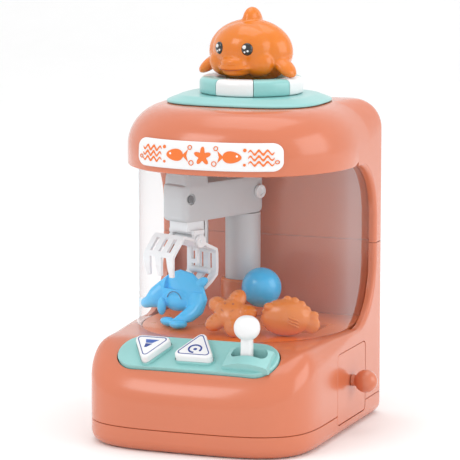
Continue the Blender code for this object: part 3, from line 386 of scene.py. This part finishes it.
def build_shells():
    outer = [(7.2 * (1 - math.sin(a)), 7.2 * (1 - math.cos(a))) for a in quarter(8)]
    top = SEAM_Z - GAP / 2
    prof = [(d, z) for d, z in outer] + [(0.0, top - 0.35), (0.35, top), (WALL, top), (WALL, 8.0),
                                         (4.4, 4.4), (7.2, 2.8)]
    add("base_tray_shell", loft([[(x, y, z) for x, y in inset_plan(BASE_PLAN, d)] for d, z in prof]),
        "coral", "cabinet",
        40.0)

    profiles, inner_wall = [], inset_plan(BASE_PLAN, WALL)
    for p, w in zip(BASE_PLAN, inner_wall):
        z0 = SEAM_Z + GAP / 2
        edge_in = (p[0] + (w[0] - p[0]) * 0.14, p[1] + (w[1] - p[1]) * 0.14)
        low = [(w[0], w[1], z0), (edge_in[0], edge_in[1], z0), (p[0], p[1], z0 + 0.35)]
        count, rows = 12, []
        if p[1] < 29.5:
            f1, f2 = foot_xy(p, 1.2), foot_xy(p, SIDE_WALL + 3.0)
            radius = ramp(p[1], -34.0, 22.0, 14.0, LIP_R)
            span = max(math.dist(p, f1), 0.01)
            for k in range(count):
                if k <= 8:
                    d = radius * (1 - math.cos(math.pi / 2 * k / 8))
                else:
                    d = radius + (span - radius) * (k - 8) / 3
                u = min(d / span, 1.0)
                x, y = lerp(p, f1, u)
                top_z = slope_z(y) if y < -20 else FOOT_Z - 0.05
                top_z -= ramp(y, 0.0, 29.0, 0.0, 0.75)
                rows.append((x, y, top_z - drop(min(d, span) if u >= 1 else d, radius)))
            rows.append((f2[0], f2[1], FOOT_Z - ramp(f2[1], 0.0, 29.0, 0.05, 0.8)))
            rows.append((f2[0], f2[1], FOOT_Z - 3.4))
            under = [(*lerp(w, f2, 0.5), min(rows[0][2] - 1.0, 45.0)), (w[0], w[1], rows[0][2] - 3.0)]
        else:
            h = lip_low(p[1], LIP_R)
            edge = foot_xy(p, SIDE_WALL)
            if p[1] > BACK_Y - CORNER_R:
                edge = (math.copysign(min(abs(p[0]), HALF_W - SIDE_WALL), p[0]), BACK_Y - BACK_WALL)
            for k in range(count):
                x, y = lerp(p, edge, max(k - 1, 0) / (count - 2))
                rows.append((x, y, h - (0.3 if k == 0 else 0.0)))
            rows.append((edge[0], edge[1], h - 0.2))
            rows.append((edge[0], edge[1], FOOT_Z - 6.0))
            under = [(*lerp(edge, w, 0.5), FOOT_Z - 8.0), (w[0], w[1], 48.0)]
        profiles.append(low + rows + under)
    hatch = (-7.4, 45.1, 7.6, 50.9)
    shell = add("lower_housing_shell", loft(profiles, closed=True), "coral", "cabinet", 38.0,
                ("lower_housing",))
    tray = bpy.data.objects["base_tray_shell"]
    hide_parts("base_tray")
    pts = rounded_rect(hatch[1] - hatch[0], hatch[3] - hatch[2], 4.0, 6)
    cy, cz = (hatch[0] + hatch[1]) / 2, (hatch[2] + hatch[3]) / 2
    cutter = loft([[(x, cy + a, cz + b) for a, b in pts] for x in (64.0, 76.0)])
    cut(shell, cutter)
    cut(tray, cutter)
    pts = rounded_rect(100.8, 28.8, 14.2, 10)
    cut(shell, moved(loft([[(x + 1.2, y + 3.3, w) for x, y in pts] for w in (-20.0, 12.0)]), panel_point))

    profiles = []
    for p in CANOPY_PLAN:
        hole = toward(p, LID_C, LID_A * 0.86, LID_B * 0.86, LID_N)
        back = p[1] > BACK_Y - CORNER_R
        side = p[1] > 29.4
        z0 = CANOPY_Z if not side else min(CANOPY_Z, lip_high(p[1], LIP_R))
        z0 = ramp(p[1], 24.0, 29.5, CANOPY_Z, lip_high(29.5, LIP_R) - 0.0) if 24.0 < p[1] <= 29.5 else z0
        radius = ramp(p[1], 50.0, 80.0, CANOPY_R, 17.0)
        edge = foot_xy(p, SIDE_WALL if side else 3.0)
        if back:
            edge = (math.copysign(min(abs(p[0]), HALF_W - SIDE_WALL), p[0]), BACK_Y - BACK_WALL)
        span = math.dist(p, hole)
        rim = 1.3 if not side else 0.3
        out = [(*lerp(p, edge, 0.45), z0), (*lerp(p, edge, 0.13 if not side else 0.05), z0 + rim * 0.3),
               (p[0], p[1], z0 + rim),
               (p[0], p[1], max(TOP_Z - radius, z0 + rim + 0.3))]
        for k in range(1, 13):
            a = math.pi / 2 * k / 12
            x, y = lerp(p, hole, min(radius * (1 - math.cos(a)) / span, 0.97))
            out.append((x, y, TOP_Z - radius + radius * math.sin(a)))
        out += [(*hole, TOP_Z), (*hole, TOP_Z - 3.0)]
        for k in range(6, 0, -1):
            a = math.pi / 2 * k / 6
            x, y = lerp(edge, hole, min((radius - 3.0) * (1 - math.cos(a)) / span, 0.93))
            out.append((x, y, TOP_Z - radius + (radius - 3.0) * math.sin(a)))
        out += [(*edge, max(TOP_Z - radius, z0 + rim + 0.3)), (*edge, z0)]
        profiles.append(out)
    add("upper_housing_shell", loft(profiles, closed=True), "coral", "cabinet", 38.0, ("upper_housing",))

    for side in (-1, 1):
        name = "right" if side > 0 else "left"
        low = [(29.5 + 33.5 * math.sin(a), 98.0 - 38.3 * math.cos(a)) for a in quarter(40)]
        low += [(63.0, MID_Z - GAP / 2)]
        high = [(29.5 + 33.7 * math.sin(a), 125.0 + 33.7 * math.cos(a)) for a in quarter(40)]
        high += [(63.2, MID_Z + GAP / 2)]
        for label, path in (("low", low), ("high", high)):
            rings = []
            for i, (y, z) in enumerate(path):
                (ay, az), (by, bz) = path[max(i - 1, 0)], path[min(i + 1, len(path) - 1)]
                length = math.hypot(by - ay, bz - az)
                ny, nz = (bz - az) / length, -(by - ay) / length
                if label == "high":
                    ny, nz = -(bz - az) / length, (by - ay) / length
                ring = [(0.02 + LIP_R * (1 - math.cos(a)), LIP_R * (1 - math.sin(a))) for a in quarter(7)]
                ring += [(SIDE_WALL, 0.0), (SIDE_WALL, LIP_R), (1.2, LIP_R)]
                rings.append([(side * (HALF_W - d), y + ny * e, z + nz * e) for d, e in ring])
            add(f"window_lip_{label}_{name}", loft(rings), "coral", "cabinet", 50.0)


def rounded_rect(w, h, r, seg=6):
    pts = []
    for cx, cy, a0 in ((1, 1, 0), (-1, 1, 90), (-1, -1, 180), (1, -1, 270)):
        for k in range(seg + 1):
            a = math.radians(a0 + 90 * k / seg)
            pts.append((cx * (w / 2 - r) + r * math.cos(a), cy * (h / 2 - r) + r * math.sin(a)))
    return pts


def cut(obj, shape):
    mesh = bpy.data.meshes.new("cutter")
    mesh.from_pydata([Vector(v) * MM for v in shape[0]], [], shape[1])
    bm = bmesh.new()
    bm.from_mesh(mesh)
    bmesh.ops.recalc_face_normals(bm, faces=bm.faces)
    bm.to_mesh(mesh)
    bm.free()
    tool = bpy.data.objects.new("cutter", mesh)
    bpy.context.scene.collection.objects.link(tool)
    mod = obj.modifiers.new("cut", "BOOLEAN")
    mod.operation, mod.solver, mod.object = "DIFFERENCE", "EXACT", tool
    bpy.context.view_layer.update()
    result = bpy.data.meshes.new_from_object(obj.evaluated_get(bpy.context.evaluated_depsgraph_get()))
    obj.modifiers.clear()
    obj.data = result
    bpy.data.objects.remove(tool)
    while len(result.materials) > 1:
        result.materials.pop(index=1)
    result.shade_smooth()
    result.set_sharp_from_angle(angle=math.radians(38))


def panel_point(u, v, w):
    k = math.dist(SLOPE_A, SLOPE_B)
    vy, vz = (SLOPE_B[0] - SLOPE_A[0]) / k, (SLOPE_B[1] - SLOPE_A[1]) / k
    cz = SLOPE_A[1] + 14.0 * (SLOPE_B[1] - SLOPE_A[1]) / (SLOPE_B[0] - SLOPE_A[0])
    return u, -60.0 + v * vy - w * vz, cz + v * vz + w * vy


def triangle(centre, size, turn, r=3.0, seg=6):
    pts = []
    for k in range(3):
        a = math.radians(turn + 120 * k)
        cx, cy = centre[0] + (size - 2 * r) * math.cos(a), centre[1] + (size - 2 * r) * math.sin(a)
        pts += [(cx + r * math.cos(b), cy + r * math.sin(b))
                for b in (a + math.radians(-60 + 120 * j / seg) for j in range(seg + 1))]
    return pts


BUTTONS = {"raise": ((-27.4, 3.0), 15.0, -90.0), "grab": ((1.5, 2.5), 16.0, 90.0)}


def plate(outline, w0, w1, edge=0.12):
    cx = sum(p[0] for p in outline) / len(outline)
    cy = sum(p[1] for p in outline) / len(outline)
    return loft([[(cx + (x - cx) * s, cy + (y - cy) * s, w) for x, y in outline]
                 for w, s in ((w0, 1.0), (w1 - edge, 1.0), (w1, 0.985))])


def ring_plate(outer, inner, w0, w1):
    n = len(outer)
    verts = [(x, y, w) for w in (w0, w1) for pts in (outer, inner) for x, y in pts]
    faces = []
    for i in range(n):
        j = (i + 1) % n
        faces += [(2 * n + i, 2 * n + j, 3 * n + j, 3 * n + i), (i, j, 2 * n + j, 2 * n + i),
                  (n + j, n + i, 3 * n + i, 3 * n + j), (j, i, n + i, n + j)]
    return verts, faces


def build_controls():
    refine("control_panel", "teal", "cabinet", 0.45)
    for name, (centre, size, turn) in BUTTONS.items():
        body = f"{name}_button"
        refine(body, "white", body, 0.7, 50.0)
        top = 7.82
        frame_out, frame_in = triangle(centre, size * 0.80, turn, 1.9), triangle(centre, size * 0.73, turn,
                                                                                 1.5)
        add(f"{name}_button_outline", moved(ring_plate(frame_out, frame_in, top - 0.15, top + 0.06),
                                            panel_point), "navy", body)
    (cx, cy), _, _ = BUTTONS["raise"]
    bucket = [(-4.3, 2.9), (4.1, 2.9), (0.7, -0.2), (-3.3, -0.2)]
    add("raise_button_mark_top", moved(plate([(cx + x + 0.6, cy + y + 0.6) for x, y in bucket], 7.6, 7.88,
                                             0.02), panel_point),
        "icon", "raise_button")
    lower = [(-3.3, -0.6), (1.0, -0.6), (-1.7, -3.8), (-3.1, -4.0)]
    add("raise_button_mark_base", moved(plate([(cx + x + 0.6, cy + y + 0.4) for x, y in lower], 7.6, 7.9,
                                              0.02), panel_point),
        "navy", "raise_button")
    (cx, cy), _, _ = BUTTONS["grab"]
    arc = [(cx + 3.8 * math.cos(a), cy - 1.4 + 3.3 * math.sin(a))
           for a in (math.radians(-30 + 300 * k / 24) for k in range(25))]
    add("grab_button_mark_hook", moved(tube([(x, y, 7.83) for x, y in arc], 0.55, 6), panel_point), "navy",
        "grab_button")
    add("grab_button_mark_dot", moved(ball((cx + 0.2, cy - 1.6, 7.8), (1.2, 1.0, 0.25), 12, 6),
                                      panel_point), "navy", "grab_button")
    knob = []
    for k in range(25):
        a = math.pi * (k + 0.1) / 24.2 - math.pi / 2
        r = 7.7 * abs(math.cos(a)) ** 0.86
        knob.append([(32.6 + r * math.cos(t), -60.0 + r * math.sin(t), 74.2 + 7.2 * math.sin(a)) for t in
                     (2 * math.pi * i / 40 for i in range(40))])
    add("joystick_knob", loft(knob), "white", "joystick", 60.0, ("joystick_ball",))
    refine("joystick_stick", "white", "joystick", 0.3)


def arm_frame(s, t, z):
    return COL[0] + s * ARM_DIR[0] - t * ARM_DIR[1], COL[1] + s * ARM_DIR[1] + t * ARM_DIR[0], z


def claw_frame(s, t, z):
    return arm_frame(HINGE_S + s, t, HINGE_Z + z)


def build_lid():
    levels = [(0.84, 191.5), (0.84, 195.3), (0.985, 195.3), (0.998, 195.5), (1.0, 196.0), (0.992, 196.6),
              (0.965, 197.2),
              (0.93, 197.9), (0.895, 198.5), (0.865, 199.1), (0.84, 199.6), (0.81, 199.88), (0.77, 199.95)]
    rings = [[(*super_xy(LID_A * k, LID_B * k, LID_N, 2 * math.pi * i / 120, *LID_C), z)
              for i in range(120)] for k, z in levels]
    add("lid_plate_fine", loft(rings), "teal", "lid", 50.0, ("lid_plate",))
    prof = [(21.0, 200.2), (30.4, 200.2), (31.1, 200.6), (31.4, 201.4), (31.4, 206.6), (31.0, 208.2),
            (29.9, 209.4), (28.4, 210.0),
            (23.0, 210.0), (21.6, 209.5), (21.0, 208.5)]
    for k in range(8):
        a0 = -90 - 22.5 + 45 * k
        rings = []
        for j in range(15):
            a = math.radians(a0 + 0.35 + 44.3 * j / 14)
            pull = 0.35 if j in (0, 14) else 0.0
            rings.append([(RING_C[0] + (26 + (r - 26) * (1 - pull * 0.05)) * math.cos(a),
                           RING_C[1] + (26 + (r - 26) * (1 - pull * 0.05)) * math.sin(a),
                           z - pull * (z > 205) * 0.4) for r, z in prof])
        colour = "white" if k % 2 == 0 else "teal"
        add(f"ring_segment_fine_{k + 1}", loft(rings), colour, "lid", 45.0, (f"ring_segment_{k + 1}",))
    cx, cy = RING_C[0] - 2.4, RING_C[1]
    turn = math.radians(FACE_TURN)

    def facing(p, q, z):
        return cx + p * math.cos(turn) - q * math.sin(turn), cy + p * math.sin(turn) + q * math.cos(turn), z

    head = [((0, -2, 226.5), (20.7, 18.2, 16.2), (0, 0, 0)), ((-11, -7, 219.0), (10.4, 9.0, 9.0), (0, 0, 0)),
            ((11, -7, 219.0), (10.4, 9.0, 9.0), (0, 0, 0)), ((0, -15.2, 219.3), (9.0, 8.6, 4.4), (0, 0, 0)),
            ((0, -14.6, 216.2), (11.0, 9.0, 3.4), (0, 0, 0)), ((0, -14.4, 213.6), (8.6, 7.4, 3.2), (0, 0, 0)),
            ((0, 6, 242.0), (5.4, 8.2, 9.4), (22, 0, 0)),
            ((25.5, 0, 216.5), (9.2, 6.6, 3.8), (0, 38, -14)),
            ((-25.5, 0, 216.5), (9.2, 6.6, 3.8), (0, -38, 14)),
            ((7.5, 27, 221), (8.2, 4.8, 2.6), (0, 0, 35)), ((-7.5, 27, 221), (8.2, 4.8, 2.6), (0, 0, -35)),
            ((0, 20, 220), (6.4, 10.2, 7.2), (0, 0, 0))]
    shapes = [moved(ball(c, radii, 32, 20, tilt), facing) for c, radii, tilt in head]
    shapes.append(ball((cx + 1, cy + 3, 224.5), (26.2, 18.7, 19.7), 44, 28))
    figure = blob("lid_dolphin_fine", shapes, "orange", "lid", 0.75, 6, ("lid_dolphin",))
    cut(figure, loft([[(RING_C[0] + r * math.cos(a), cy + r * math.sin(a), z) for r, z in
                       ((20.7, 190.0), (70.0, 190.0), (70.0, 210.3), (20.7, 210.3))] for a in
                      (2 * math.pi * k / 64 for k in range(64))], closed=True))
    cut(figure, loft([[(x, y, z) for x, y in ((-60, -40), (60, -40), (60, 110), (-60, 110))]
                      for z in (190.0, 206.3)]))
    for side in (-1, 1):
        name = "left" if side < 0 else "right"
        eye = moved(ball((side * 9.4, -17.4, 227.6), (3.5, 2.0, 3.8), 28, 18, (0, 0, side * 22)), facing)
        add(f"lid_eye_{name}", eye, "black", "lid", 70.0, (f"lid_dolphin_eye_{name}",))
        for k, (dx, dz, r) in enumerate(((-0.8, 1.3, 1.15), (1.1, -1.0, 0.7), (-0.6, -1.6, 0.6))):
            spot = ball((side * 9.4 + dx, -19.25 + 0.4 * side * dx, 227.6 + dz), (r, 0.5, r), 14, 8,
                        (0, 0, side * 22))
            add(f"lid_eye_{name}_glint_{k + 1}", moved(spot, facing), "white", "lid", 70.0)
    smile = []
    for k in range(29):
        a = math.radians(196 + 148 * k / 28)
        smile.append((10.2 * math.cos(a), -14.7 + 8.6 * math.sin(a), 214.9 + 1.5 * abs(math.cos(a)) ** 2))
    add("lid_smile", moved(tube(smile, 0.3, 6), facing), "orange_dark", "lid")
    return figure


def sign_point(x, z, lift):
    """Point on the sign's curved face: x along, z up, lift out of the face."""
    y = HOOD_Y0 - HOOD_B * (1 - abs(x / HALF_W) ** HOOD_N) ** (1 / HOOD_N)
    gx = (HOOD_N / HALF_W) * abs(x / HALF_W) ** (HOOD_N - 1) * (1 if x > 0 else -1)
    gy = -(HOOD_N / HOOD_B) * abs((y - HOOD_Y0) / HOOD_B) ** (HOOD_N - 1)
    over = max(z - 170.0, 0.0)
    inset = CANOPY_R - math.sqrt(CANOPY_R ** 2 - over ** 2)
    normal = Vector((gx, gy, over / CANOPY_R * 0.035)).normalized()
    return tuple(Vector((x, y, z)) + normal * (0.45 - inset + lift))


def build_sign():
    z_mid, half_h, half_l = 170.7, 8.3, 44.5
    rings = []
    for lift, grow in ((0.0, 0.0), (0.95, 0.0), (1.3, -0.12), (1.5, -0.5), (1.5, -2.5), (1.5, -5.2),
                       (1.5, -8.3)):
        pts = rounded_rect(2 * (half_l + grow), 2 * (half_h + grow), max(5.5 + grow, 0.02), 10)
        dense = []
        for i, p in enumerate(pts):
            q = pts[(i + 1) % len(pts)]
            steps = 30 if i % 22 == 10 and abs(q[0] - p[0]) > 20.0 else 1
            dense += [lerp(p, q, k / steps) for k in range(steps)]
        rings.append([sign_point(x, z_mid + z, lift) for x, z in dense])
    add("sign_plate_fine", loft(rings, caps=False), "white", "cabinet", 50.0, ("sign_plate",))

    def decal(name, pts, mat="print"):
        cx, cz = sum(p[0] for p in pts) / len(pts), sum(p[1] for p in pts) / len(pts)
        verts = [sign_point(cx, cz, 1.74)]
        faces = []
        for s in (0.35, 0.7, 1.0):
            verts += [sign_point(cx + (x - cx) * s, cz + (z - cz) * s, 1.74) for x, z in pts]
        verts += [sign_point(x, z, 1.40) for x, z in pts]
        m = len(pts)
        faces += [(0, 1 + i, 1 + (i + 1) % m) for i in range(m)]
        for r in range(3):
            a = 1 + r * m
            faces += [(a + i, a + m + i, a + m + (i + 1) % m, a + (i + 1) % m) for i in range(m)]
        add(name, (verts, faces), mat, "cabinet", 40.0)

    def bubble(name, x, z, r, thick=0.0):
        path = [(x + r * math.cos(a), z + r * math.sin(a)) for a in (2 * math.pi * k / 24 for k in range(24))]
        if not thick:
            decal(name, path)
            return
        rings = []
        for px, pz in path + path[:1]:
            c = Vector(sign_point(px, pz, 1.6))
            o = Vector(sign_point(px + (px - x) / r * thick, pz + (pz - z) / r * thick, 1.6))
            up = Vector(sign_point(px, pz, 1.8)) - c
            rings.append([tuple(c), tuple(c + up), tuple(o + up), tuple(o)])
        add(name, loft(rings), "print", "cabinet", 40.0)

    star = []
    for k in range(50):
        a = 2 * math.pi * k / 50
        r = 3.9 + 1.45 * math.cos(5 * a)
        star.append((r * math.sin(a), 170.6 + r * math.cos(a)))
    decal("sign_starfish", star)
    for side in (-1, 1):
        tag = "right" if side > 0 else "left"
        fish = [(side * (17.5 + 5.4 * math.cos(a)), 170.6 + 3.3 * math.sin(a) * (1.0 - 0.22 * math.cos(a)))
                for a in
                (2 * math.pi * k / 30 for k in range(30))]
        decal(f"sign_fish_{tag}", fish)
        tail = [(side * 12.7, 170.6), (side * 9.0, 174.0), (side * 10.0, 170.6), (side * 9.0, 167.2)]
        decal(f"sign_fish_tail_{tag}", tail)
        decal(f"sign_fish_eye_{tag}", [(side * (20.3 + 0.62 * math.cos(a)), 171.3 + 0.62 * math.sin(a))
                                       for a in
                                       (2 * math.pi * k / 10 for k in range(10))], mat="white_print")
        wave_path = [side * (26.5 + 13.4 * k / 36) for k in range(37)]
        for row, z in enumerate((173.4, 170.3, 167.2)):
            rings = []
            for k, x in enumerate(wave_path):
                zz = z + 1.1 * math.sin(2 * math.pi * k / 12)
                half = 0.72 * math.sin(math.pi * (k + 1.5) / 39) ** 0.4
                rings.append([sign_point(x, zz - half, 1.4), sign_point(x, zz + half, 1.4),
                              sign_point(x, zz + half, 1.76),
                              sign_point(x, zz - half, 1.76)])
            add(f"sign_wave_{tag}_{row + 1}", loft(rings), "print", "cabinet", 40.0)
        for k, (x, z, r) in enumerate(((8.0, 175.2, 0.9), (24.6, 174.6, 1.0), (7.0, 166.6, 1.1),
                                       (24.4, 166.4, 0.8), (41.3, 168.0, 0.7))):
            bubble(f"sign_bubble_{tag}_{k + 1}", side * x, z, r, 0.0 if k % 2 else 0.5)


def standing(s, t, z):
    return claw_frame(s, t, z - HINGE_Z)


def leaning(p, q, w):
    return 4.0 + p, -12.5 + q * 0.66 - w * 0.75, 72.6 + q * 0.75 + w * 0.66


def swimming(p, q, w):
    c, n = math.cos(math.radians(10)), math.sin(math.radians(10))
    return 37.0 + p * c - q * n, -6.5 + p * n + q * c, 71.4 + w


def build_prizes():
    add("prize_ball_fine", ball((5.6, 37.0, 80.4), (12.2, 12.2, 12.2), 48, 30), "blue", "cabinet", 70.0,
        ("prize_ball",))
    spine = [(8.0, -29.5, 70.2, 2.0, 2.0), (7.6, -28.3, 70.6, 3.2, 3.0), (6.6, -25.6, 71.6, 3.8, 3.5),
             (4.4, -21.4, 74.4, 6.8, 4.9), (0.9, -15.8, 77.6, 9.0, 3.7), (0.4, -10.0, 80.0, 10.8, 3.5),
             (0.3, -4.5, 81.2, 12.1, 3.3),
             (0.1, 1.5, 80.6, 11.8, 3.3), (0.2, 6.5, 78.0, 10.4, 3.4), (1.2, 9.5, 74.0, 8.6, 4.2),
             (4.0, 9.6, 69.8, 6.4, 4.8),
             (8.0, 8.0, 66.8, 4.6, 4.4), (11.4, 5.6, 65.0, 3.2, 3.4), (13.6, 4.4, 64.2, 2.6, 2.8)]
    rings = []
    for i, (s, t, z, r, h) in enumerate(spine):
        (_, pt, pz, _, _), (_, qt, qz, _, _) = spine[max(i - 1, 0)], spine[min(i + 1, len(spine) - 1)]
        length = math.hypot(qt - pt, qz - pz)
        nt, nz = -(qz - pz) / length, (qt - pt) / length
        rings.append([standing(s + h * math.cos(b), t + nt * r * math.sin(b), z + nz * r * math.sin(b))
                      for b in (2 * math.pi * j / 28 for j in range(28))])
    lumps = (((2.4, -6.0, 74.2), (5.0, 11.0, 6.6), (0, 0, 0)),
             ((8.6, -13.0, 70.6), (2.3, 3.2, 5.6), (0, 0, 0)),
             ((14.6, -1.6, 63.4), (3.8, 6.8, 2.8), (0, 0, -10)),
             ((16.6, 8.6, 63.2), (4.0, 5.6, 2.7), (0, 0, 35)),
             ((0.2, 12.6, 87.2), (2.0, 5.5, 2.9), (28, 0, 0)))
    shapes = [loft(rings)] + [moved(ball(c, radii, 28, 18, tilt), standing) for c, radii, tilt in lumps]
    toy = blob("prize_dolphin_fine", shapes, "blue", "cabinet", 0.5, 6, ("prize_dolphin",))
    for r0, r1 in ((30.0, 46.8), (53.5, 75.0)):
        cut(toy, loft([[(COL[0] + r * math.cos(a), COL[1] + r * math.sin(a), z) for r, z in
                        ((r0, 81.0), (r1, 81.0), (r1, 110.0), (r0, 110.0))] for a in
                       (math.radians(-128.0 + 132.0 * k / 60) for k in range(61))]))
    seams = ([(9.6, -4.0 + 6.0 * math.cos(a), 75.0 + 5.4 * math.sin(a))
              for a in (math.radians(15 + 150 * k / 20) for k in range(21))],
             [(8.6, -27.6 + 0.55 * k, 70.4 + 0.05 * k) for k in range(10)])
    for k, path in enumerate(seams):
        add(f"prize_dolphin_line_{k + 1}", moved(tube([(s - (2.6 if k == 0 else 0.0), t, z) for s, t,
                                                       z in path], 0.35, 6), standing),
            "blue_dark", "cabinet")
    shapes = [moved(ball((0, 0, 0.5), (9.6, 9.6, 5.4)), leaning)]
    for k in range(5):
        a = 78 + 72 * k
        c = (9.3 * math.cos(math.radians(a)), 9.3 * math.sin(math.radians(a)), 0.0)
        shapes.append(moved(ball(c, (7.7, 5.5, 4.4), 20, 12, (0, 0, a)), leaning))
        for j, d in enumerate((6.0, 9.0, 12.0)):
            pos = (d * math.cos(math.radians(a)), d * math.sin(math.radians(a)), 4.3 - 0.25 * j)
            shapes.append(moved(ball(pos, (1.3, 1.3, 1.0), 10, 6), leaning))
    blob("prize_starfish_fine", shapes, "orange", "cabinet", 0.5, 4, ("prize_starfish",))
    smile = [leaning(4.2 * math.cos(a), 1.0 + 3.6 * math.sin(a), 5.3)
             for a in (math.radians(205 + 130 * k / 14) for k in range(15))]
    add("prize_starfish_smile", tube(smile, 0.35, 6), "orange_dark", "cabinet")
    for side in (-1, 1):
        add(f"prize_starfish_eye_{side + 2}",
            moved(ball((side * 2.4, 3.4, 5.0), (0.9, 0.9, 0.6), 14, 8), leaning), "orange_dark", "cabinet")
    shapes = [moved(ball((0, 0, 0), (15.2, 8.8, 11.2), 36, 22), swimming),
              moved(ball((15.8, 0, -4.0), (4.8, 2.4, 5.6), 20, 12, (0, 25, 0)), swimming),
              moved(ball((15.8, 0, 1.0), (4.4, 2.2, 3.0), 20, 12, (0, -25, 0)), swimming)]
    for k, (p, w) in enumerate(((1.0, 10.6), (5.5, 9.8), (9.5, 7.8), (12.5, 4.8))):
        shapes.append(moved(ball((p, 0, w), (2.7, 2.0, 2.6), 14, 10), swimming))
    shapes.append(moved(ball((-9.5, -3.5, 6.6), (3.2, 3.4, 2.6), 16, 10), swimming))
    blob("prize_fish_fine", shapes, "orange", "cabinet", 0.55, 4, ("prize_fish",))
    fins = [moved(tube([(3.0, -8.2, 1.5 - 1.6 * k), (6.5, -8.3 + 0.4 * k, 0.5 - 1.9 * k),
                        (9.0, -7.2 + 0.5 * k, -1.0 - 2.0 * k)],
                       [0.8, 1.0, 0.5], 8), swimming) for k in range(3)]
    add("prize_fish_fin", merge(*fins), "orange", "cabinet", 60.0)
    mouth = [swimming(-14.2 + 0.1 * k, -2.0 - 0.5 * k, 1.0 + 0.35 * k) for k in range(10)]
    add("prize_fish_mouth", tube(mouth, 0.35, 6), "orange_dark", "cabinet")


def build_rest():
    for node, mat, body, bevel, slot in (
            ("column_tube", "grey", "crane", 0.3, "grey"), ("arm_housing", "grey", "crane", 0.5, "grey"),
            ("arm_boss", "light", "crane", 0.3, "light_grey"),
            ("hanger_tube", "light", "claw", 0.4, "light_grey"),
            ("rear_jaw", "light", "claw", 0.35, "light_grey"),
            ("front_jaw", "light", "front_jaw", 0.35, "light_grey"),
            ("column_sleeve", "sleeve", "cabinet", 0.4, "orange"),
            ("drawer_box", "coral", "drawer", 0.5, "coral"),
            ("drawer_knob", "coral", "drawer", 0.3, "coral"),
            ("jaw_pin", "light", "claw", 0.2, "light_grey")):
        refine(node, mat, body, bevel)
    finishes = {"floor": ("play_floor", "prize_chute"),
                "acetal": ("bearing_plate", "pinion_gear", "steering_rack", "button_guide"),
                "screw_dark": ("arm_screw",),
                "steel": ("joystick_pin", "guide_rod", "knob_screw", "raise_button_spring",
                          "grab_button_spring", "base_screw_1", "base_screw_2", "base_screw_3",
                          "base_screw_4")}
    for node, mat in ((node, mat) for mat, group in finishes.items() for node in group):
        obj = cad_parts[node]
        for s in obj.material_slots:
            s.material = MAT[mat]


def stage():
    size = 6.0
    mesh = bpy.data.meshes.new("studio_floor")
    prof = [(-size, 0.0), (1.6, 0.0), (2.0, 0.02), (2.3, 0.10), (2.55, 0.28), (2.7, 0.6), (2.75, 1.2),
            (2.75, 5.0)]
    verts = [(x, y, z) for y, z in prof for x in (-size, size)]
    faces = [(2 * i, 2 * i + 1, 2 * i + 3, 2 * i + 2) for i in range(len(prof) - 1)]
    mesh.from_pydata(verts, [], faces)
    mesh.shade_smooth()
    floor = bpy.data.objects.new("studio_floor", mesh)
    bpy.context.scene.collection.objects.link(floor)
    mesh.materials.append(plastic("studio_paper", (0.93, 0.93, 0.93), 0.8, 0.004, 0.0, 200.0))

    def lamp(name, loc, energy, size):
        data = bpy.data.lights.new(name, "AREA")
        data.energy, data.size = energy, size
        obj = bpy.data.objects.new(name, data)
        obj.location = loc
        obj.rotation_euler = (Vector(LAMP_AIM) - Vector(loc)).to_track_quat("-Z", "Y").to_euler()
        bpy.context.scene.collection.objects.link(obj)

    lamp("key", (-0.9, -1.5, 1.5), 8.0, 0.9)
    lamp("side", (1.7, 0.15, 0.7), 8.5, 1.2)
    lamp("top", (0.0, 0.2, 1.9), 8.0, 1.4)
    bpy.context.scene.view_settings.view_transform = "Standard"
    world = bpy.data.worlds.new("studio")
    bpy.context.scene.world = world
    world.use_nodes = True
    world.node_tree.nodes["Background"].inputs["Color"].default_value = (1.0, 1.0, 1.0, 1)
    world.node_tree.nodes["Background"].inputs["Strength"].default_value = WORLD_STRENGTH

    cam = bpy.data.cameras.new("camera")
    cam.lens, cam.sensor_width = LENS, 36.0
    cam.clip_start, cam.clip_end = 0.05, 50.0
    obj = bpy.data.objects.new("camera", cam)
    obj.location = CAMERA_AT
    obj.rotation_euler = Vector(CAMERA_AIM).to_track_quat("-Z", "Y").to_euler()
    bpy.context.scene.collection.objects.link(obj)
    bpy.context.scene.camera = obj


build_shells()
build_controls()
build_lid()
build_sign()
build_prizes()
build_rest()
build_window()
stage()
